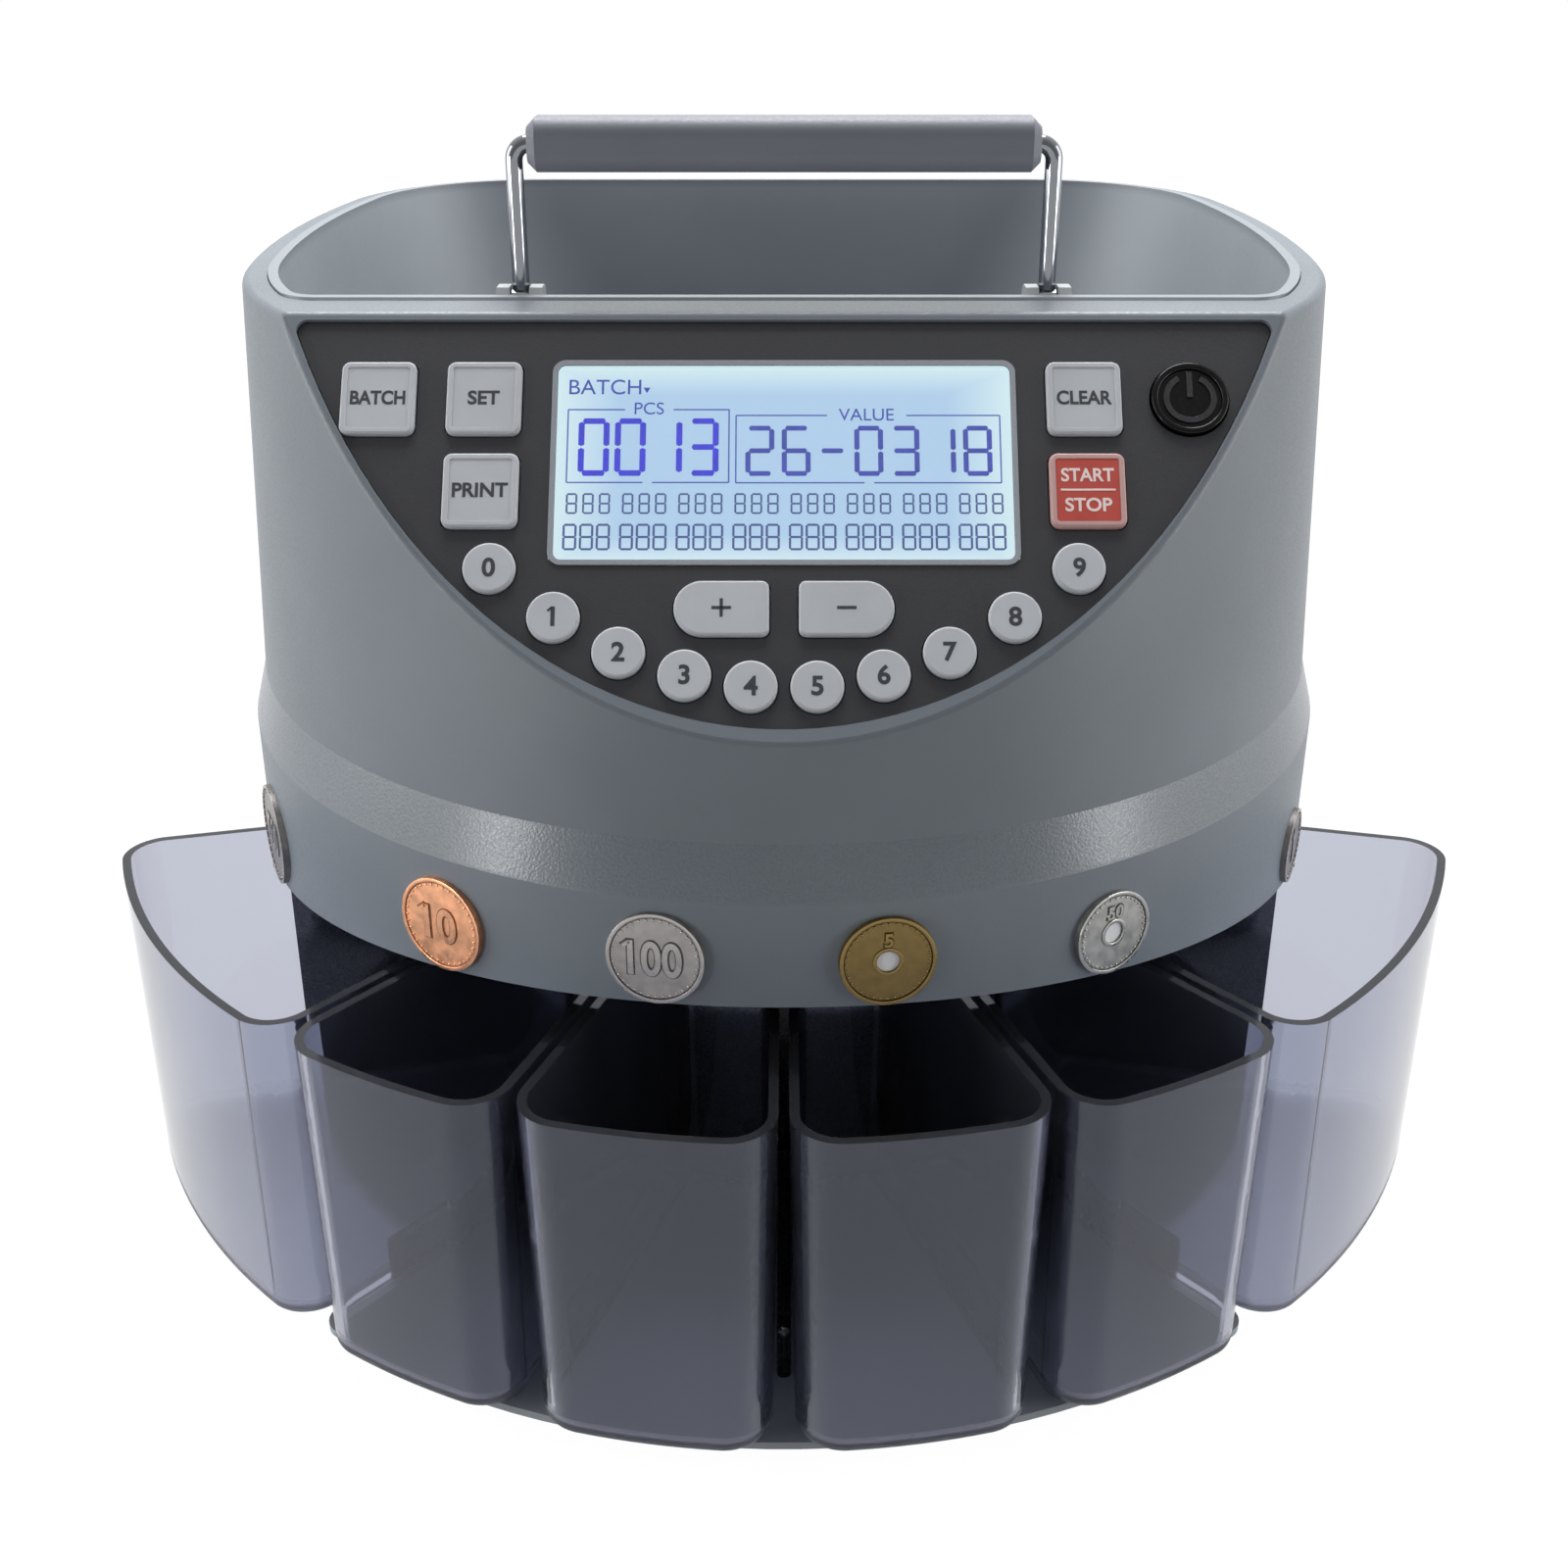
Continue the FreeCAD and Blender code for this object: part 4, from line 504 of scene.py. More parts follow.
def lettering(name, words, height, thickness, widest=None, weight=0.0):
    """Figures or words, drawn flat round the origin, at a height and a greatest width in millimetres.

    The built-in letters have a plain bar for the figure one, so a leading one gets its flag here.
    """
    only(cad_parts["base_plate"])
    bpy.ops.object.text_add(location=(0, 0, 0))
    bpy.context.object.data.body = words
    bpy.context.object.data.extrude = thickness * MM / 2
    bpy.context.object.data.offset = weight
    bpy.ops.object.convert(target="MESH")
    piece = start(name)
    xs = [v.co.x for v in piece.data.vertices]
    ys = [v.co.y for v in piece.data.vertices]
    size = height * MM / (max(ys) - min(ys))
    across = size
    if widest:
        across = min(size, widest * MM / (max(xs) - min(xs)))
    piece.scale = (across, size, 1)
    piece.location = (-across * (max(xs) + min(xs)) / 2, -size * (max(ys) + min(ys)) / 2, 0)
    bpy.ops.object.transform_apply(location=True, rotation=True, scale=True)
    if words.startswith("1"):
        left = -across * (max(xs) - min(xs)) / 2
        reach = height * across / size
        flag = slab("flag", FLAG_L * reach, FLAG_STROKE * height, thickness, FLAG_CORNER * height)
        flag.rotation_euler.z = math.radians(FLAG_LEAN)
        flag.location = (left - FLAG_LEFT * reach * MM, FLAG_UP * height * MM, -thickness * MM / 2)
        piece = merged(name, [piece, flag])
        bpy.ops.object.transform_apply(location=True, rotation=True, scale=True)
    return piece


# %% [markdown]
# ## Legends on the keys
# The keys carry printed figures and plain function words. Ink has next to no thickness, so the figures
# stand 0.05 mm proud, enough to cast no shadow and to keep clear of the key's face. A key's middle and
# its top come from its solid, seen flat in the panel's plane.

# %% Printed figures and words
INK = moulded("ink_dark", "26282d", "2b2d33", 0.6, 0.5, 0.01, 3.0)
INK_PALE = moulded("ink_pale", "f0dcd9", "f6e6e3", 0.6, 0.5, 0.01, 3.0)
INK_T = 0.05
KEY_DISH = 0.2
FIGURE_H = 4.4
WORD_H, WORD_W = 3.4, 12.2
WORD_WEIGHT = 0.026
SIGN_L, SIGN_STROKE, SIGN_CORNER = 4.2, 0.7, 0.1
WORDS = {"key_batch": "BATCH", "key_set": "SET", "key_print": "PRINT", "key_clear": "CLEAR"}


def key_place(name, dish=0.0):
    """The panel matrix at the middle of a key's face, or on the floor of its dish."""
    low, high = panel_extent(name)
    middle = (low + high) / 2
    return PANEL @ Matrix.Translation((middle.x, middle.y, high.z - dish * MM))


# The built-in nine doesn't fill at this weight, so a six is turned half round for it.
for number, name in enumerate(DIGIT_KEYS):
    nine = number == 9
    shape = "6" if nine else str(number)
    figure = lettering("figure_%d" % number, shape, FIGURE_H, INK_T, weight=WORD_WEIGHT)
    turn = Matrix.Rotation(math.pi if nine else 0.0, 4, "Z")
    settle(figure, key_place(name) @ at(0, 0, INK_T / 2) @ turn, name, INK)
for name, words in WORDS.items():
    word = lettering("word_" + name[4:], words, WORD_H, INK_T, WORD_W, WORD_WEIGHT)
    settle(word, key_place(name, KEY_DISH) @ at(0, 0, INK_T / 2), name, INK)
plus = merged("sign_plus", [slab("plus_level", SIGN_L, SIGN_STROKE, INK_T, SIGN_CORNER),
                            slab("plus_upright", SIGN_STROKE, SIGN_L, INK_T, SIGN_CORNER)])
settle(plus, key_place("key_plus"), "key_plus", INK)
minus = slab("sign_minus", SIGN_L, SIGN_STROKE, INK_T, SIGN_CORNER)
settle(minus, key_place("key_minus"), "key_minus", INK)
print("legends", len(DIGIT_KEYS) + len(WORDS) + 2)

# %% [markdown]
# ## The red key
# The start and stop key is a pale key with a red field printed inside its raised edge. The field is a
# thin plate in the dish, with the two words and a line between them in pale ink.

# %% Red field, words and line
KEY_PALE = moulded("silicone_pale_red", "c39c98", "caa39f", 0.5, 0.8, 0.03, 12.0)
RED = moulded("ink_red", "b84339", "c04b40", 0.5, 0.7, 0.02, 6.0)
RED_W, RED_H, RED_T, RED_CORNER = 13.8, 14.6, 0.08, 0.9
RED_WORD_H, RED_WORD_W, RED_WORD_UP = 3.2, 11.6, 3.5
RED_WORD_WEIGHT = 0.024
RED_LINE_W, RED_LINE_STROKE, RED_LINE_CORNER = 12.0, 0.45, 0.1
dress(KEY_PALE, "key_start_stop")
field = slab("red_field", RED_W, RED_H, RED_T, RED_CORNER)
settle(field, key_place("key_start_stop", KEY_DISH), "key_start_stop", RED)
on_field = key_place("key_start_stop", KEY_DISH) @ at(0, 0, RED_T)
for name, words, up in (("word_start", "START", RED_WORD_UP), ("word_stop", "STOP", -RED_WORD_UP)):
    word = lettering(name, words, RED_WORD_H, INK_T, RED_WORD_W, RED_WORD_WEIGHT)
    settle(word, on_field @ at(0, up, INK_T / 2), "key_start_stop", INK_PALE)
red_line = slab("red_line", RED_LINE_W, RED_LINE_STROKE, INK_T, RED_LINE_CORNER)
settle(red_line, on_field, "key_start_stop", INK_PALE)
print("red field", RED_W, "by", RED_H)

# %% [markdown]
# ## The power key
# The black key has a raised rim and, in its dish, an embossed sign: an open ring with a bar. The ring's
# gap is made by deleting the faces near its top before the ring gets its thickness.

# %% Embossed power sign
SIGN_OUT, SIGN_IN, SIGN_T, SIGN_GAP = 5.9, 4.6, 0.4, 1.9
STEM_W, STEM_L, STEM_CORNER, STEM_UP = 1.3, 6.2, 0.3, 3.3
SIGN_EDGE, SIGN_EDGE_ANGLE = 0.12, 30
POWER_DISH = 0.8
arc = flat_ring("power_sign", SIGN_OUT, SIGN_IN)
pick(arc, lambda p: abs(p.x) < SIGN_GAP * MM and p.y > 0)
bpy.ops.mesh.delete(type="VERT")
thicken(SIGN_T)
stem = slab("power_stem", STEM_W, STEM_L, SIGN_T, STEM_CORNER)
stem.location = (0, STEM_UP * MM, 0)
sign = merged("power_sign", [arc, stem])
bpy.ops.object.transform_apply(location=True, rotation=True, scale=True)
soften(sign, SIGN_EDGE, SIGN_EDGE_ANGLE)
SIGN_BLACK = moulded("abs_satin_black", "16171a", "1b1c20", 0.35, 1.0, 0.02, 8.0)
settle(sign, key_place("key_power", POWER_DISH), "key_power", SIGN_BLACK)
print("power sign", len(sign.data.polygons), "faces")

# %% [markdown]
# ## The display
# A backlit display is a bright sheet behind clear plastic, with segments that block the light. The
# sheet is a little paler near its edges, where the lamps sit, so its glow comes from the distance to the
# nearest edge. Each segment is a six-sided bar, drawn once in each size and copied to make the figures.

# %% Backlit sheet, lens and frame
LCD_UP = -35.8
LCD_HALF_W, LCD_HALF_H = 50.35, 23.15
PALE_FROM, PALE_TO = 0.72, 1.0
LENS_IOR = 1.49
LENS_GLOSS = (0.03, 0.05)
WIPE_MM = 9.0
flat = (PANEL @ at(0, LCD_UP)).inverted()
SHEET, sheet_shader = new_finish("lcd_backlight", [("Base Color", linear("0b0d10")), ("Roughness", 0.5),
                                                   ("Emission Strength", 0.9)])
place = add_node(SHEET, "ShaderNodeTexCoord").outputs["Object"]
laid = add_node(SHEET, "ShaderNodeMapping", links=[("Vector", place)],
                values=[("Location", flat.to_translation()), ("Rotation", flat.to_euler())])
parts = add_node(SHEET, "ShaderNodeSeparateXYZ", links=[("Vector", laid.outputs["Vector"])])
reach = []
for axis, half in (("X", LCD_HALF_W), ("Y", LCD_HALF_H)):
    share = add_node(SHEET, "ShaderNodeMath", [("operation", "MULTIPLY")], [(1, 1 / (half * MM))],
                     [(0, parts.outputs[axis])])
    size = add_node(SHEET, "ShaderNodeMath", [("operation", "ABSOLUTE")], links=[(0, share.outputs[0])])
    reach.append(size.outputs[0])
edge = add_node(SHEET, "ShaderNodeMath", [("operation", "MAXIMUM")], links=[(0, reach[0]), (1, reach[1])])
link(SHEET, ramp(SHEET, edge.outputs[0], linear("b3d4f2"), linear("dcf6fb"), PALE_FROM, PALE_TO),
     sheet_shader.inputs["Emission Color"])
LENS, lens_shader = new_finish("acrylic_clear", [("Base Color", linear("fbfdff")), ("IOR", LENS_IOR),
                                                 ("Transmission Weight", 1.0)])
lens_place = add_node(LENS, "ShaderNodeTexCoord").outputs["Object"]
wipes = add_node(LENS, "ShaderNodeTexNoise", values=[("Scale", 1 / (WIPE_MM * MM)), ("Detail", 3.0)],
                 links=[("Vector", lens_place)])
link(LENS, ramp(LENS, wipes.outputs["Fac"], grey(LENS_GLOSS[0]), grey(LENS_GLOSS[1]), *MARKS),
     lens_shader.inputs["Roughness"])
LCD_FRAME = moulded("paint_silver", "959ba2", "9ea4ab", 0.33, 0.8, 0.02)
dress(SHEET, "lcd_module")
dress(LENS, "lcd_lens")
dress(LCD_FRAME, "lcd_bezel")
print("display", 2 * LCD_HALF_W, "by", 2 * LCD_HALF_H)

# %% The segments' film
CLOUD_MM = 6.0


def lit_segment(name, ink, dim, bright, strength):
    """A dark film with light behind it that isn't quite even."""
    finish, shader = new_finish(name, [("Base Color", linear(ink)), ("Roughness", 0.6),
                                       ("Emission Strength", strength)])
    place = add_node(finish, "ShaderNodeTexCoord").outputs["Object"]
    cloud = add_node(finish, "ShaderNodeTexNoise", values=[("Scale", 1 / (CLOUD_MM * MM)), ("Detail", 2.0)],
                     links=[("Vector", place)])
    link(finish, ramp(finish, cloud.outputs["Fac"], linear(dim), linear(bright), *PATCHES),
         shader.inputs["Emission Color"])
    return finish


LIT = lit_segment("lcd_segment", "0c0f70", "1718cc", "1d1ee4", 0.7)
LIT_NAVY = lit_segment("lcd_segment_navy", "14204f", "1d34aa", "233cbe", 0.7)
LIT_PALE = lit_segment("lcd_segment_small", "1c2c50", "27468c", "2d4e9c", 0.6)
print("display inks", LIT.name, LIT_NAVY.name, LIT_PALE.name)

# %% Seven-segment figures
SEGMENT_T = 0.05
TALL_CUT, WIDE_CUT = 0.78, 1.3
SEGMENTS = {"0": "abcdef", "1": "bc", "2": "abdeg", "3": "abcdg", "6": "acdefg", "8": "abcdefg", "-": "g"}


def segment(name, length, stroke):
    """One upright bar with pointed ends: a short six-sided prism whose two halves are pulled apart."""
    point = stroke / math.sqrt(3)
    bpy.ops.mesh.primitive_cylinder_add(vertices=6, radius=point * MM, depth=SEGMENT_T * MM)
    piece = start(name)
    bpy.ops.object.mode_set(mode="EDIT")
    for side in (1, -1):
        pick(piece, lambda p: p.y * side > 0)
        bpy.ops.transform.translate(value=(0, side * (length / 2 - point) * MM, 0))
    bpy.ops.object.mode_set(mode="OBJECT")
    return piece


def figures(name, text, left, low, width, height, pitch, stroke):
    """A row of seven-segment figures, joined into one piece, with gaps between their bars."""
    tall = segment("tall_bar", height / 2 - TALL_CUT * stroke, stroke)
    wide = segment("wide_bar", width - WIDE_CUT * stroke, stroke)
    half_w = (width - stroke) / 2
    half_h = (height - stroke) / 2
    quarter_turn = Matrix.Rotation(math.radians(90), 4, "Z")
    places = {"a": (0, half_h), "d": (0, -half_h), "g": (0, 0), "b": (half_w, half_h / 2),
              "c": (half_w, -half_h / 2), "e": (-half_w, -half_h / 2), "f": (-half_w, half_h / 2)}
    bars = []
    for column, letter in enumerate(text):
        middle = left + width / 2 + column * pitch
        for part in SEGMENTS[letter]:
            x, y = places[part]
            spot = at(middle + x, low + height / 2 + y)
            level = part in "adg"
            bars.append(copy_of(wide if level else tall, spot @ quarter_turn if level else spot))
    for spare in (tall, wide):
        bpy.data.objects.remove(spare)
    row = merged(name, bars)
    bpy.ops.object.transform_apply(location=True, rotation=True, scale=True)
    return row


def repeated(piece, count, step):
    """Copies of a piece in a row across the display."""
    row = piece.modifiers.new("row", "ARRAY")
    row.count = count
    row.use_relative_offset = False
    row.use_constant_offset = True
    row.constant_offset_displace = (step * MM, 0, 0)
    apply_all(piece)
    return piece


CLEAR_OF_SHEET = 0.01
sheet_top = panel_extent("lcd_module")[1].z
ON_SHEET = (PANEL @ at(0, LCD_UP) @ Matrix.Translation((0, 0, sheet_top))
            @ at(0, 0, 0.5 * SEGMENT_T + CLEAR_OF_SHEET))
GROUPS = 8
# For each row: its name and figures, then left edge, foot, width, height, pitch and stroke of a figure.
# The last two columns are the step between groups, or 0 for a single group, and the ink.
ROWS = [("display_count", "0013", (-45.6, -2.7, 6.9, 13.8, 8.08, 1.35), 0, LIT),
        ("display_value", "26-0318", (-8.55, -2.7, 6.4, 12.0, 8.04, 1.15), 0, LIT_NAVY),
        ("display_upper_row", "888", (-47.96, -11.7, 2.5, 4.9, 3.62, 0.42), 12.35, LIT_PALE),
        ("display_lower_row", "888", (-48.5, -20.2, 3.1, 6.2, 3.66, 0.5), 12.39, LIT_PALE)]
for name, text, sizes, step, finish in ROWS:
    row = figures(name, text, *sizes)
    if step:
        row = repeated(row, GROUPS, step)
    settle(row, ON_SHEET, "machine", finish)
print("display rows", len(ROWS))

# %% Frames and words on the display
FRAME_STROKE, FRAME_CORNER = 0.3, 0.05
ARROW_R = 0.9
# For each frame: left, right, foot and top, then the gaps in its top line and its foot line.
FRAMES = [("display_count_frame", -48.0, -12.2, -4.25, 13.2, (-35.4, -24.6), (-31.2, -29.1)),
          ("display_value_frame", -10.65, 47.96, -4.33, 11.8, (9.56, 27.2), (17.75, 19.9))]
# For each word: its height, and its middle across and up.
DISPLAY_WORDS = [("display_word_batch", "BATCH", 3.6, -39.9, 18.7),
                 ("display_word_pieces", "PCS", 2.9, -30.0, 13.5),
                 ("display_word_value", "VALUE", 2.9, 18.3, 12.0)]
ARROW_X, ARROW_Y = -30.6, 18.1


def stroke_line(x0, y0, x1, y1, thick):
    """A thin straight line on the display, level or upright."""
    line = slab("line", max(abs(x1 - x0), thick), max(abs(y1 - y0), thick), SEGMENT_T, FRAME_CORNER)
    line.location = ((x0 + x1) / 2 * MM, (y0 + y1) / 2 * MM, -SEGMENT_T / 2 * MM)
    return line


def window(name, left, right, low, top, top_gap, low_gap):
    """An outline round a group of figures, open where its word stands."""
    lines = [stroke_line(side, low, side, top, FRAME_STROKE) for side in (left, right)]
    for y, gap in ((top, top_gap), (low, low_gap)):
        lines.append(stroke_line(left, y, gap[0], y, FRAME_STROKE))
        lines.append(stroke_line(gap[1], y, right, y, FRAME_STROKE))
    outline = merged(name, lines)
    bpy.ops.object.transform_apply(location=True, rotation=True, scale=True)
    return settle(outline, ON_SHEET, "machine", LIT_NAVY)


for sizes in FRAMES:
    window(*sizes)
for name, words, high, x, y in DISPLAY_WORDS:
    settle(lettering(name, words, high, SEGMENT_T), ON_SHEET @ at(x, y), "machine", LIT_NAVY)
bpy.ops.mesh.primitive_cylinder_add(vertices=3, radius=ARROW_R * MM, depth=SEGMENT_T * MM,
                                    rotation=(0, 0, math.radians(180)))
settle(start("display_arrow"), ON_SHEET @ at(ARROW_X, ARROW_Y), "machine", LIT_NAVY)
print("frames", len(FRAMES), "words", len(DISPLAY_WORDS))

# %% [markdown]
# ## Coin labels
# Six metal discs round the drum show which coin falls into which bin. Each disc is a plain medal: a
# raised rim, a ring of beads and a number. The six differ only in colour, and one material does them
# all by choosing the colour from the place across the machine. The raised parts are a polished twin of
# it, because handling brightens what stands proud and leaves the ground dull. Tarnish stays in the
# corner at the foot of each raised part, so a thin darker outline lies round every number and inside
# every rim.

# %% Coin metals
COINS_HALF_SPAN = 150.0
WEAR_MM = 2.5
WEAR_DULLS = 0.14
STEPS = [(0.0, "a19d9b"), (0.14, "ffbd92"), (0.32, "b0aba8"), (0.49, "8c774c"), (0.66, "b2b2ad"),
         (0.84, "a19d9b")]


def coin_metal(name, darkest, lightest, roughness):
    """The six coin colours, chosen by the place across the machine and mottled by handling."""
    finish, shader = new_finish(name, [("Metallic", 1.0)])
    place = add_node(finish, "ShaderNodeTexCoord").outputs["Object"]
    across = add_node(finish, "ShaderNodeSeparateXYZ", links=[("Vector", place)]).outputs["X"]
    spread = add_node(finish, "ShaderNodeMapRange", links=[("Value", across)],
                      values=[("From Min", -COINS_HALF_SPAN * MM), ("From Max", COINS_HALF_SPAN * MM)])
    bands = add_node(finish, "ShaderNodeValToRGB", links=[("Fac", spread.outputs["Result"])])
    bands.color_ramp.interpolation = "CONSTANT"
    for index, (position, code) in enumerate(STEPS):
        if index > 1:
            bands.color_ramp.elements.new(position)
        bands.color_ramp.elements[index].position = position
        bands.color_ramp.elements[index].color = linear(code)
    wear = add_node(finish, "ShaderNodeTexNoise", values=[("Scale", 1 / (WEAR_MM * MM)), ("Detail", 5.0)],
                    links=[("Vector", place)])
    tone = add_node(finish, "ShaderNodeMixRGB", [("blend_type", "MULTIPLY")], [("Fac", 1.0)],
                    [("Color1", bands.outputs["Color"]),
                     ("Color2", ramp(finish, wear.outputs["Fac"], grey(darkest), grey(lightest), *PATCHES))])
    link(finish, tone.outputs["Color"], shader.inputs["Base Color"])
    link(finish, ramp(finish, wear.outputs["Fac"], grey(roughness), grey(roughness + WEAR_DULLS), *MARKS),
         shader.inputs["Roughness"])
    return finish


COINS = coin_metal("coin_metals", 0.7, 0.95, 0.36)
COINS_RAISED = coin_metal("coin_metals_polished", 0.9, 1.0, 0.22)
COINS_TARNISHED = coin_metal("coin_metals_tarnished", 0.2, 0.36, 0.5)
PAPER = moulded("paper_white", "f3f4f6", "fafafb", 0.7, 0.6, 0.02)
dress(COINS, "coin_labels")
print("coin colours", len(STEPS))

# %% Sizes of the coins' relief
RELIEF = 0.3
TARNISH_T = 0.04
FIT = 0.02
RIM_W, RIM_EDGE = 0.95, 0.1
GROOVE_OUT, GROOVE_IN, GROOVE_EDGE = 0.9, 1.25, 0.01
BEADS, BEAD_R, BEAD_INSET = 36, 0.32, 1.6
HOLE_R, HOLE_POINTS, COLLAR_W = 2.6, 48, 0.9
BACKING_T, BACKING_DEPTH = 0.2, 0.35
NUMBER_H, NUMBER_W, NUMBER_WEIGHT = 8.8, 12.4, 0.02
SMALL_H, SMALL_UP = 3.4, 5.4
OUTLINE_H, OUTLINE_W, OUTLINE_WEIGHT = 0.7, 13.2, 0.055


def on_coin(piece, face, finish=COINS_RAISED, up=0.0, proud=0.0):
    """Lay a piece on a coin's face, at a height on it and a distance before it."""
    return settle(piece, face @ at(0, up, proud), "machine", finish)


def bead_row(name, radius):
    """A ring of small beads, from one bead and its copies."""
    bpy.ops.mesh.primitive_uv_sphere_add(segments=10, ring_count=6, radius=BEAD_R * MM)
    bead = start("bead")
    beads = []
    for step in range(BEADS):
        turn = Matrix.Rotation(math.radians(step * 360 / BEADS), 4, "Z")
        beads.append(copy_of(bead, turn @ at(0, radius - BEAD_INSET)))
    bpy.data.objects.remove(bead)
    row = merged(name, beads)
    bpy.ops.object.transform_apply(location=True, rotation=True, scale=True)
    bpy.ops.object.shade_smooth()
    return row


# %% Rims, beads and numbers
# For each coin: its place round the drum in degrees, its number, and whether it has a hole.
LABELS = [(66.0, "1", False), (31.1, "50", True), (9.0, "5", True),
          (-11.2, "100", False), (-32.7, "10", False), (-66.0, "500", False)]
DISC_PROUD = 0.9
DISC_HALF_TURN = 7
disc_points = [v.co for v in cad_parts["coin_labels"].data.vertices]
for azimuth, number, holed in LABELS:
    heights = [p.z for p in disc_points
               if abs(math.degrees(math.atan2(p.x, AXIS_Y - p.y)) - azimuth) < DISC_HALF_TURN]
    low = min(heights) / MM
    high = max(heights) / MM
    radius = (high - low) / 2
    outward = (Matrix.Translation((0, AXIS_Y, (low + high) / 2 * MM))
               @ Matrix.Rotation(math.radians(azimuth), 4, "Z") @ Matrix.Rotation(math.radians(90), 4, "X"))
    face = outward @ Matrix.Translation((0, 0, RING_R)) @ at(0, 0, DISC_PROUD)
    on_coin(ring("coin_rim_" + number, radius - FIT, radius - RIM_W, RELIEF, RIM_EDGE), face)
    on_coin(bead_row("coin_beads_" + number, radius), face)
    if holed:
        collar = ring("coin_collar_" + number, HOLE_R + COLLAR_W, HOLE_R + FIT, RELIEF, RIM_EDGE, HOLE_POINTS)
        on_coin(collar, face)
        bpy.ops.mesh.primitive_cylinder_add(vertices=HOLE_POINTS, radius=(HOLE_R - FIT) * MM,
                                            depth=BACKING_T * MM)
        on_coin(start("coin_backing_" + number), face, PAPER, proud=-BACKING_DEPTH)
    high_as = SMALL_H if holed else NUMBER_H
    up = SMALL_UP if holed else 0.0
    figure = lettering("coin_number_" + number, number, high_as, RELIEF, NUMBER_W, NUMBER_WEIGHT)
    on_coin(figure, face, up=up, proud=RELIEF / 2)
    outline = lettering("coin_shade_" + number, number, high_as + OUTLINE_H, TARNISH_T, OUTLINE_W,
                        OUTLINE_WEIGHT)
    on_coin(outline, face, COINS_TARNISHED, up, TARNISH_T / 2)
    groove = ring("coin_groove_" + number, radius - GROOVE_OUT, radius - GROOVE_IN, TARNISH_T, GROOVE_EDGE)
    on_coin(groove, face, COINS_TARNISHED)
print("coin labels", len(LABELS))

# %% [markdown]
# ## The stage
# The machine stands in a white studio with its strongest lamp above it and a large soft lamp on each
# side. Two low strip lamps light little by themselves, but their reflections draw the sheen on the
# bevel and the bright lines down the corners of the bins. The viewer's side of the room is dim, which is
# what makes the middle of the drum darker than its flanks. To the eye the surround is plain white
# everywhere. In mirrors it is white behind the machine and dim on the viewer's side, and its light on
# the machine follows the same slope at a lower level.

# %% Floor
FLOOR_SIZE = 6.0
FLOOR_GLOW = 1.22
FLOOR_GLOW_SHARE = 0.8
bpy.ops.mesh.primitive_plane_add(size=FLOOR_SIZE, location=(0, 0, 0))
floor = start("floor")


def seen_directly(finish):
    """One for a ray from the camera or through clear plastic, and one for a ray off a mirror."""
    ray = add_node(finish, "ShaderNodeLightPath")
    direct = add_node(finish, "ShaderNodeMath", [("operation", "MAXIMUM")],
                      links=[(0, ray.outputs["Is Camera Ray"]), (1, ray.outputs["Is Transmission Ray"])])
    return direct.outputs[0], ray.outputs["Is Glossy Ray"]


FLOOR, floor_shader = new_finish("floor_white", [("Base Color", linear("8a8a8a")), ("Roughness", 0.9)])
direct, glossy = seen_directly(FLOOR)
glow = add_node(FLOOR, "ShaderNodeEmission", values=[("Color", grey(1.0)), ("Strength", FLOOR_GLOW)])
shown = add_node(FLOOR, "ShaderNodeMath", [("operation", "MAXIMUM")], links=[(0, direct), (1, glossy)])
share = add_node(FLOOR, "ShaderNodeMath", [("operation", "MULTIPLY")], [(1, FLOOR_GLOW_SHARE)],
                 [(0, shown.outputs[0])])
mix = add_node(FLOOR, "ShaderNodeMixShader",
               links=[("Fac", share.outputs[0]), (1, floor_shader.outputs["BSDF"]),
                      (2, glow.outputs["Emission"])])
link(FLOOR, mix.outputs["Shader"], FLOOR.node_tree.nodes["Material Output"].inputs["Surface"])
floor.data.materials.append(FLOOR)
print("floor", FLOOR_SIZE)

# %% Surround
ROOM_NEAR, ROOM_FAR = -0.8, 0.3
ROOM_LIGHT = (0.035, 0.4)
ROOM_IN_MIRRORS = (0.35, 1.0)
world = bpy.data.worlds.new("studio")
bpy.context.scene.world = world
world.use_nodes = True
backdrop = world.node_tree.nodes["Background"]
backdrop.inputs["Color"].default_value = grey(1.0)
direct, glossy = seen_directly(world)
heading = add_node(world, "ShaderNodeTexCoord").outputs["Generated"]
depth = add_node(world, "ShaderNodeSeparateXYZ", links=[("Vector", heading)]).outputs["Y"]


def slope(low, high):
    """A level that rises from the viewer's side of the room to the far side."""
    node = add_node(world, "ShaderNodeMapRange", links=[("Value", depth)],
                    values=[("From Min", ROOM_NEAR), ("From Max", ROOM_FAR),
                            ("To Min", low), ("To Max", high)])
    return node.outputs["Result"]


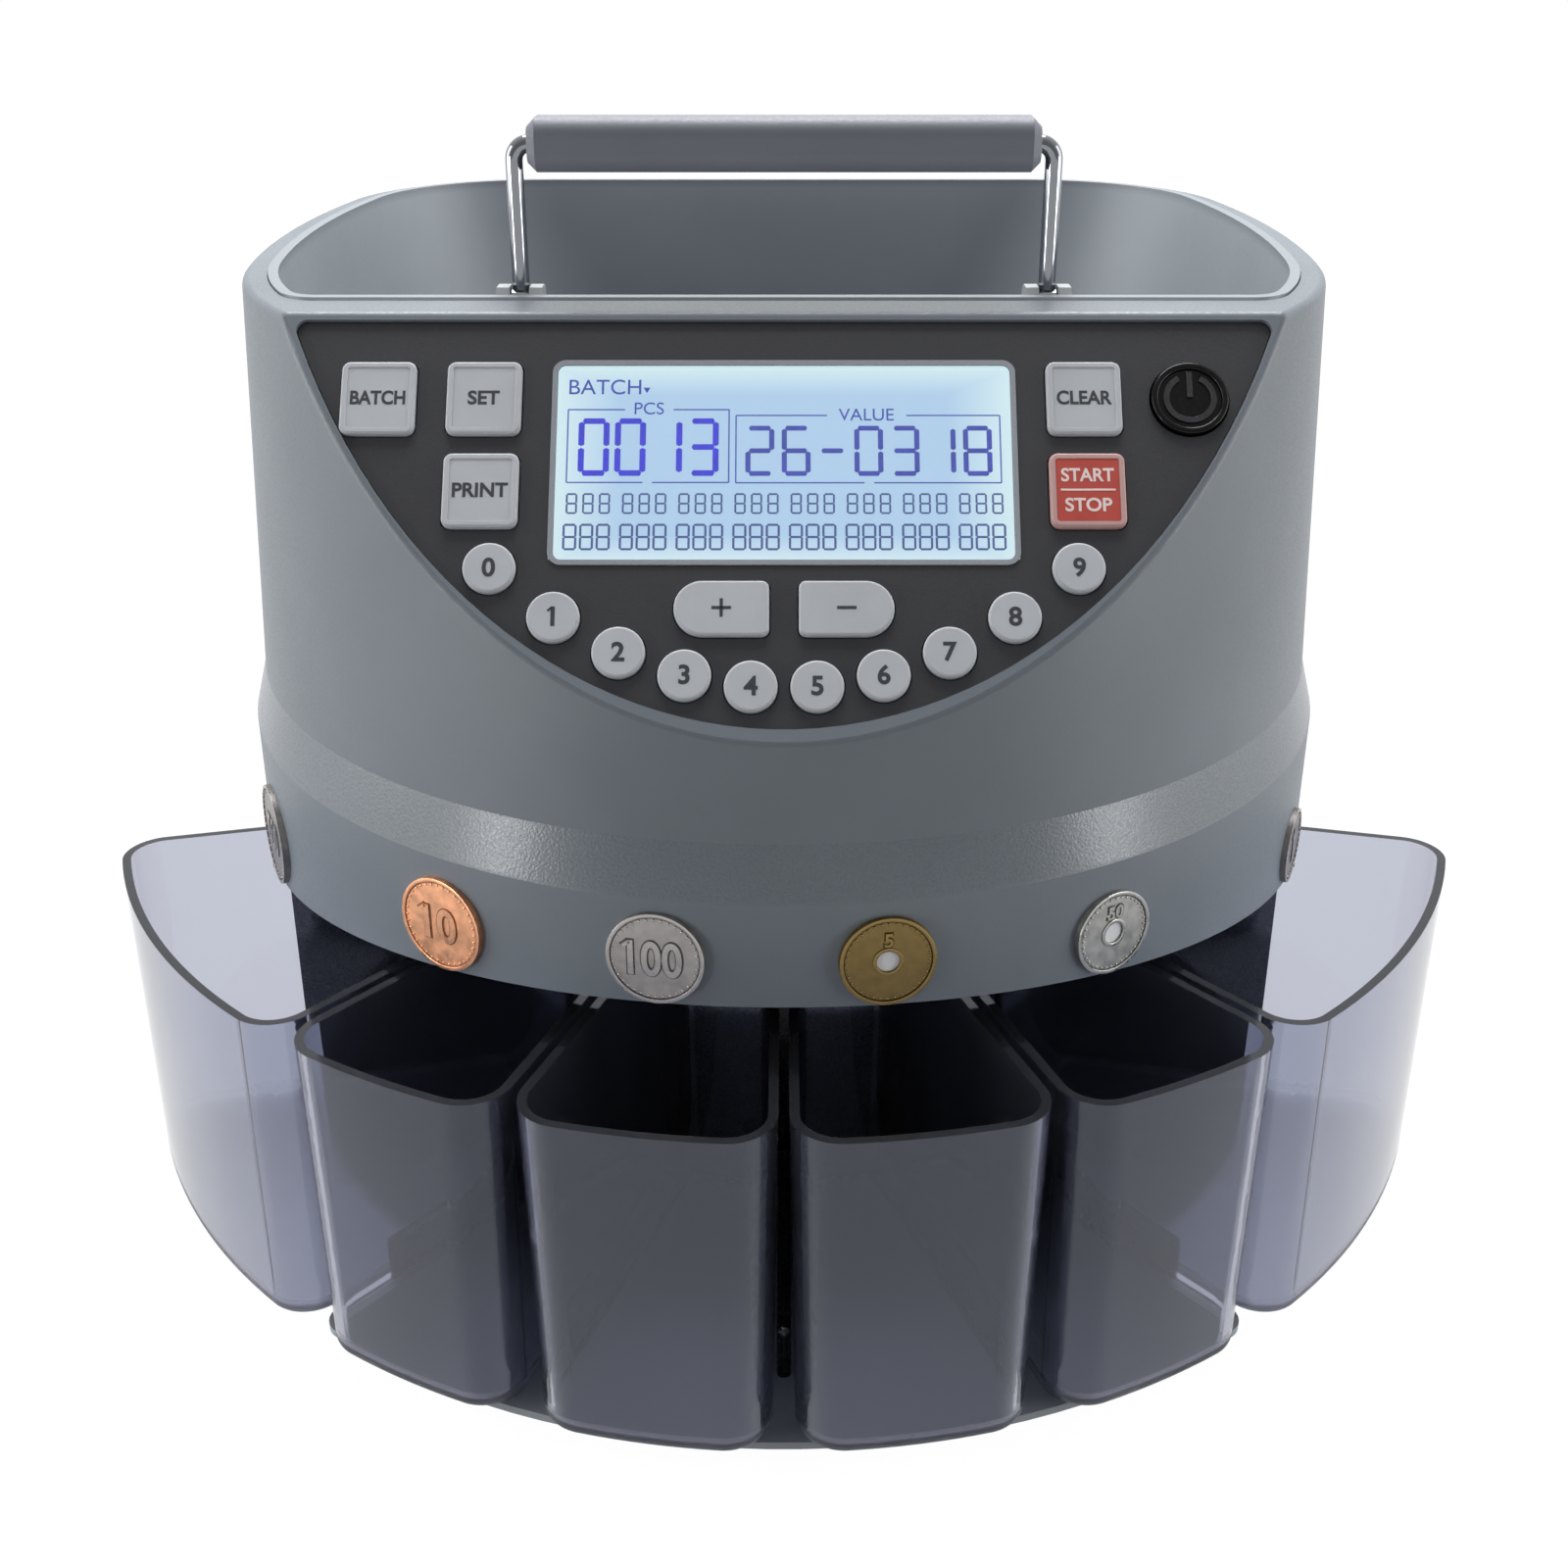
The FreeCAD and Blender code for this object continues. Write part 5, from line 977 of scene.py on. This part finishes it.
lit = add_node(world, "ShaderNodeMix", [("data_type", "FLOAT")],
               links=[(0, glossy), (2, slope(*ROOM_LIGHT)), (3, slope(*ROOM_IN_MIRRORS))])
level = add_node(world, "ShaderNodeMix", [("data_type", "FLOAT")], [(3, 1.0)],
                 [(0, direct), (2, lit.outputs[0])])
link(world, level.outputs[0], backdrop.inputs["Strength"])
print("room light", ROOM_LIGHT)

# %% Lamps
# For each lamp: its place and what it points at, in metres, then its width, height and watts.
DRUM_MIDDLE = (0, 0, 0.14)
DRUM_TOP = (0, 0, 0.2)
LAMPS = [("left_lamp", (-1.3, -0.1, 0.5), DRUM_MIDDLE, 0.9, 0.9, 8.8),
         ("right_lamp", (1.3, -0.1, 0.5), DRUM_MIDDLE, 0.9, 0.9, 7),
         ("left_strip", (-1.15, -0.8, 0.13), DRUM_MIDDLE, 0.25, 0.35, 4.0),
         ("right_strip", (1.25, -0.6, 0.13), DRUM_MIDDLE, 0.25, 0.35, 3.0),
         ("top_lamp", (0, 0.6, 1.4), DRUM_TOP, 1.0, 0.8, 30)]


def lamp(name, place, aim, width, height, watts):
    """A rectangular lamp that points at a place."""
    light = bpy.data.lights.new(name, "AREA")
    light.shape = "RECTANGLE"
    light.size = width
    light.size_y = height
    light.energy = watts
    holder = bpy.data.objects.new(name, light)
    bpy.context.scene.collection.objects.link(holder)
    holder.location = place
    holder.rotation_euler = (Vector(aim) - Vector(place)).to_track_quat("-Z", "Y").to_euler()
    return holder


lamps = [lamp(*sizes) for sizes in LAMPS]
print("lamps", len(lamps))

# %% Camera
# The camera stands before the drum's axis and looks down on it, at the distance, height and angle that
# fit the round edges of the band and the bins.
CAMERA_BEFORE_AXIS = 511.3
CAMERA_H = 323.2
CAMERA_DOWN = 24.94
camera_data = bpy.data.cameras.new("camera")
camera_data.sensor_width = 36.0
camera_data.lens = 43.98
camera = bpy.data.objects.new("camera", camera_data)
bpy.context.scene.collection.objects.link(camera)
camera.location = (0, AXIS_Y - CAMERA_BEFORE_AXIS * MM, CAMERA_H * MM)
camera.rotation_euler = (math.radians(90 - CAMERA_DOWN), 0, 0)
bpy.context.scene.camera = camera
bpy.context.scene.view_settings.view_transform = "Standard"
print("camera", [round(v, 4) for v in camera.location])
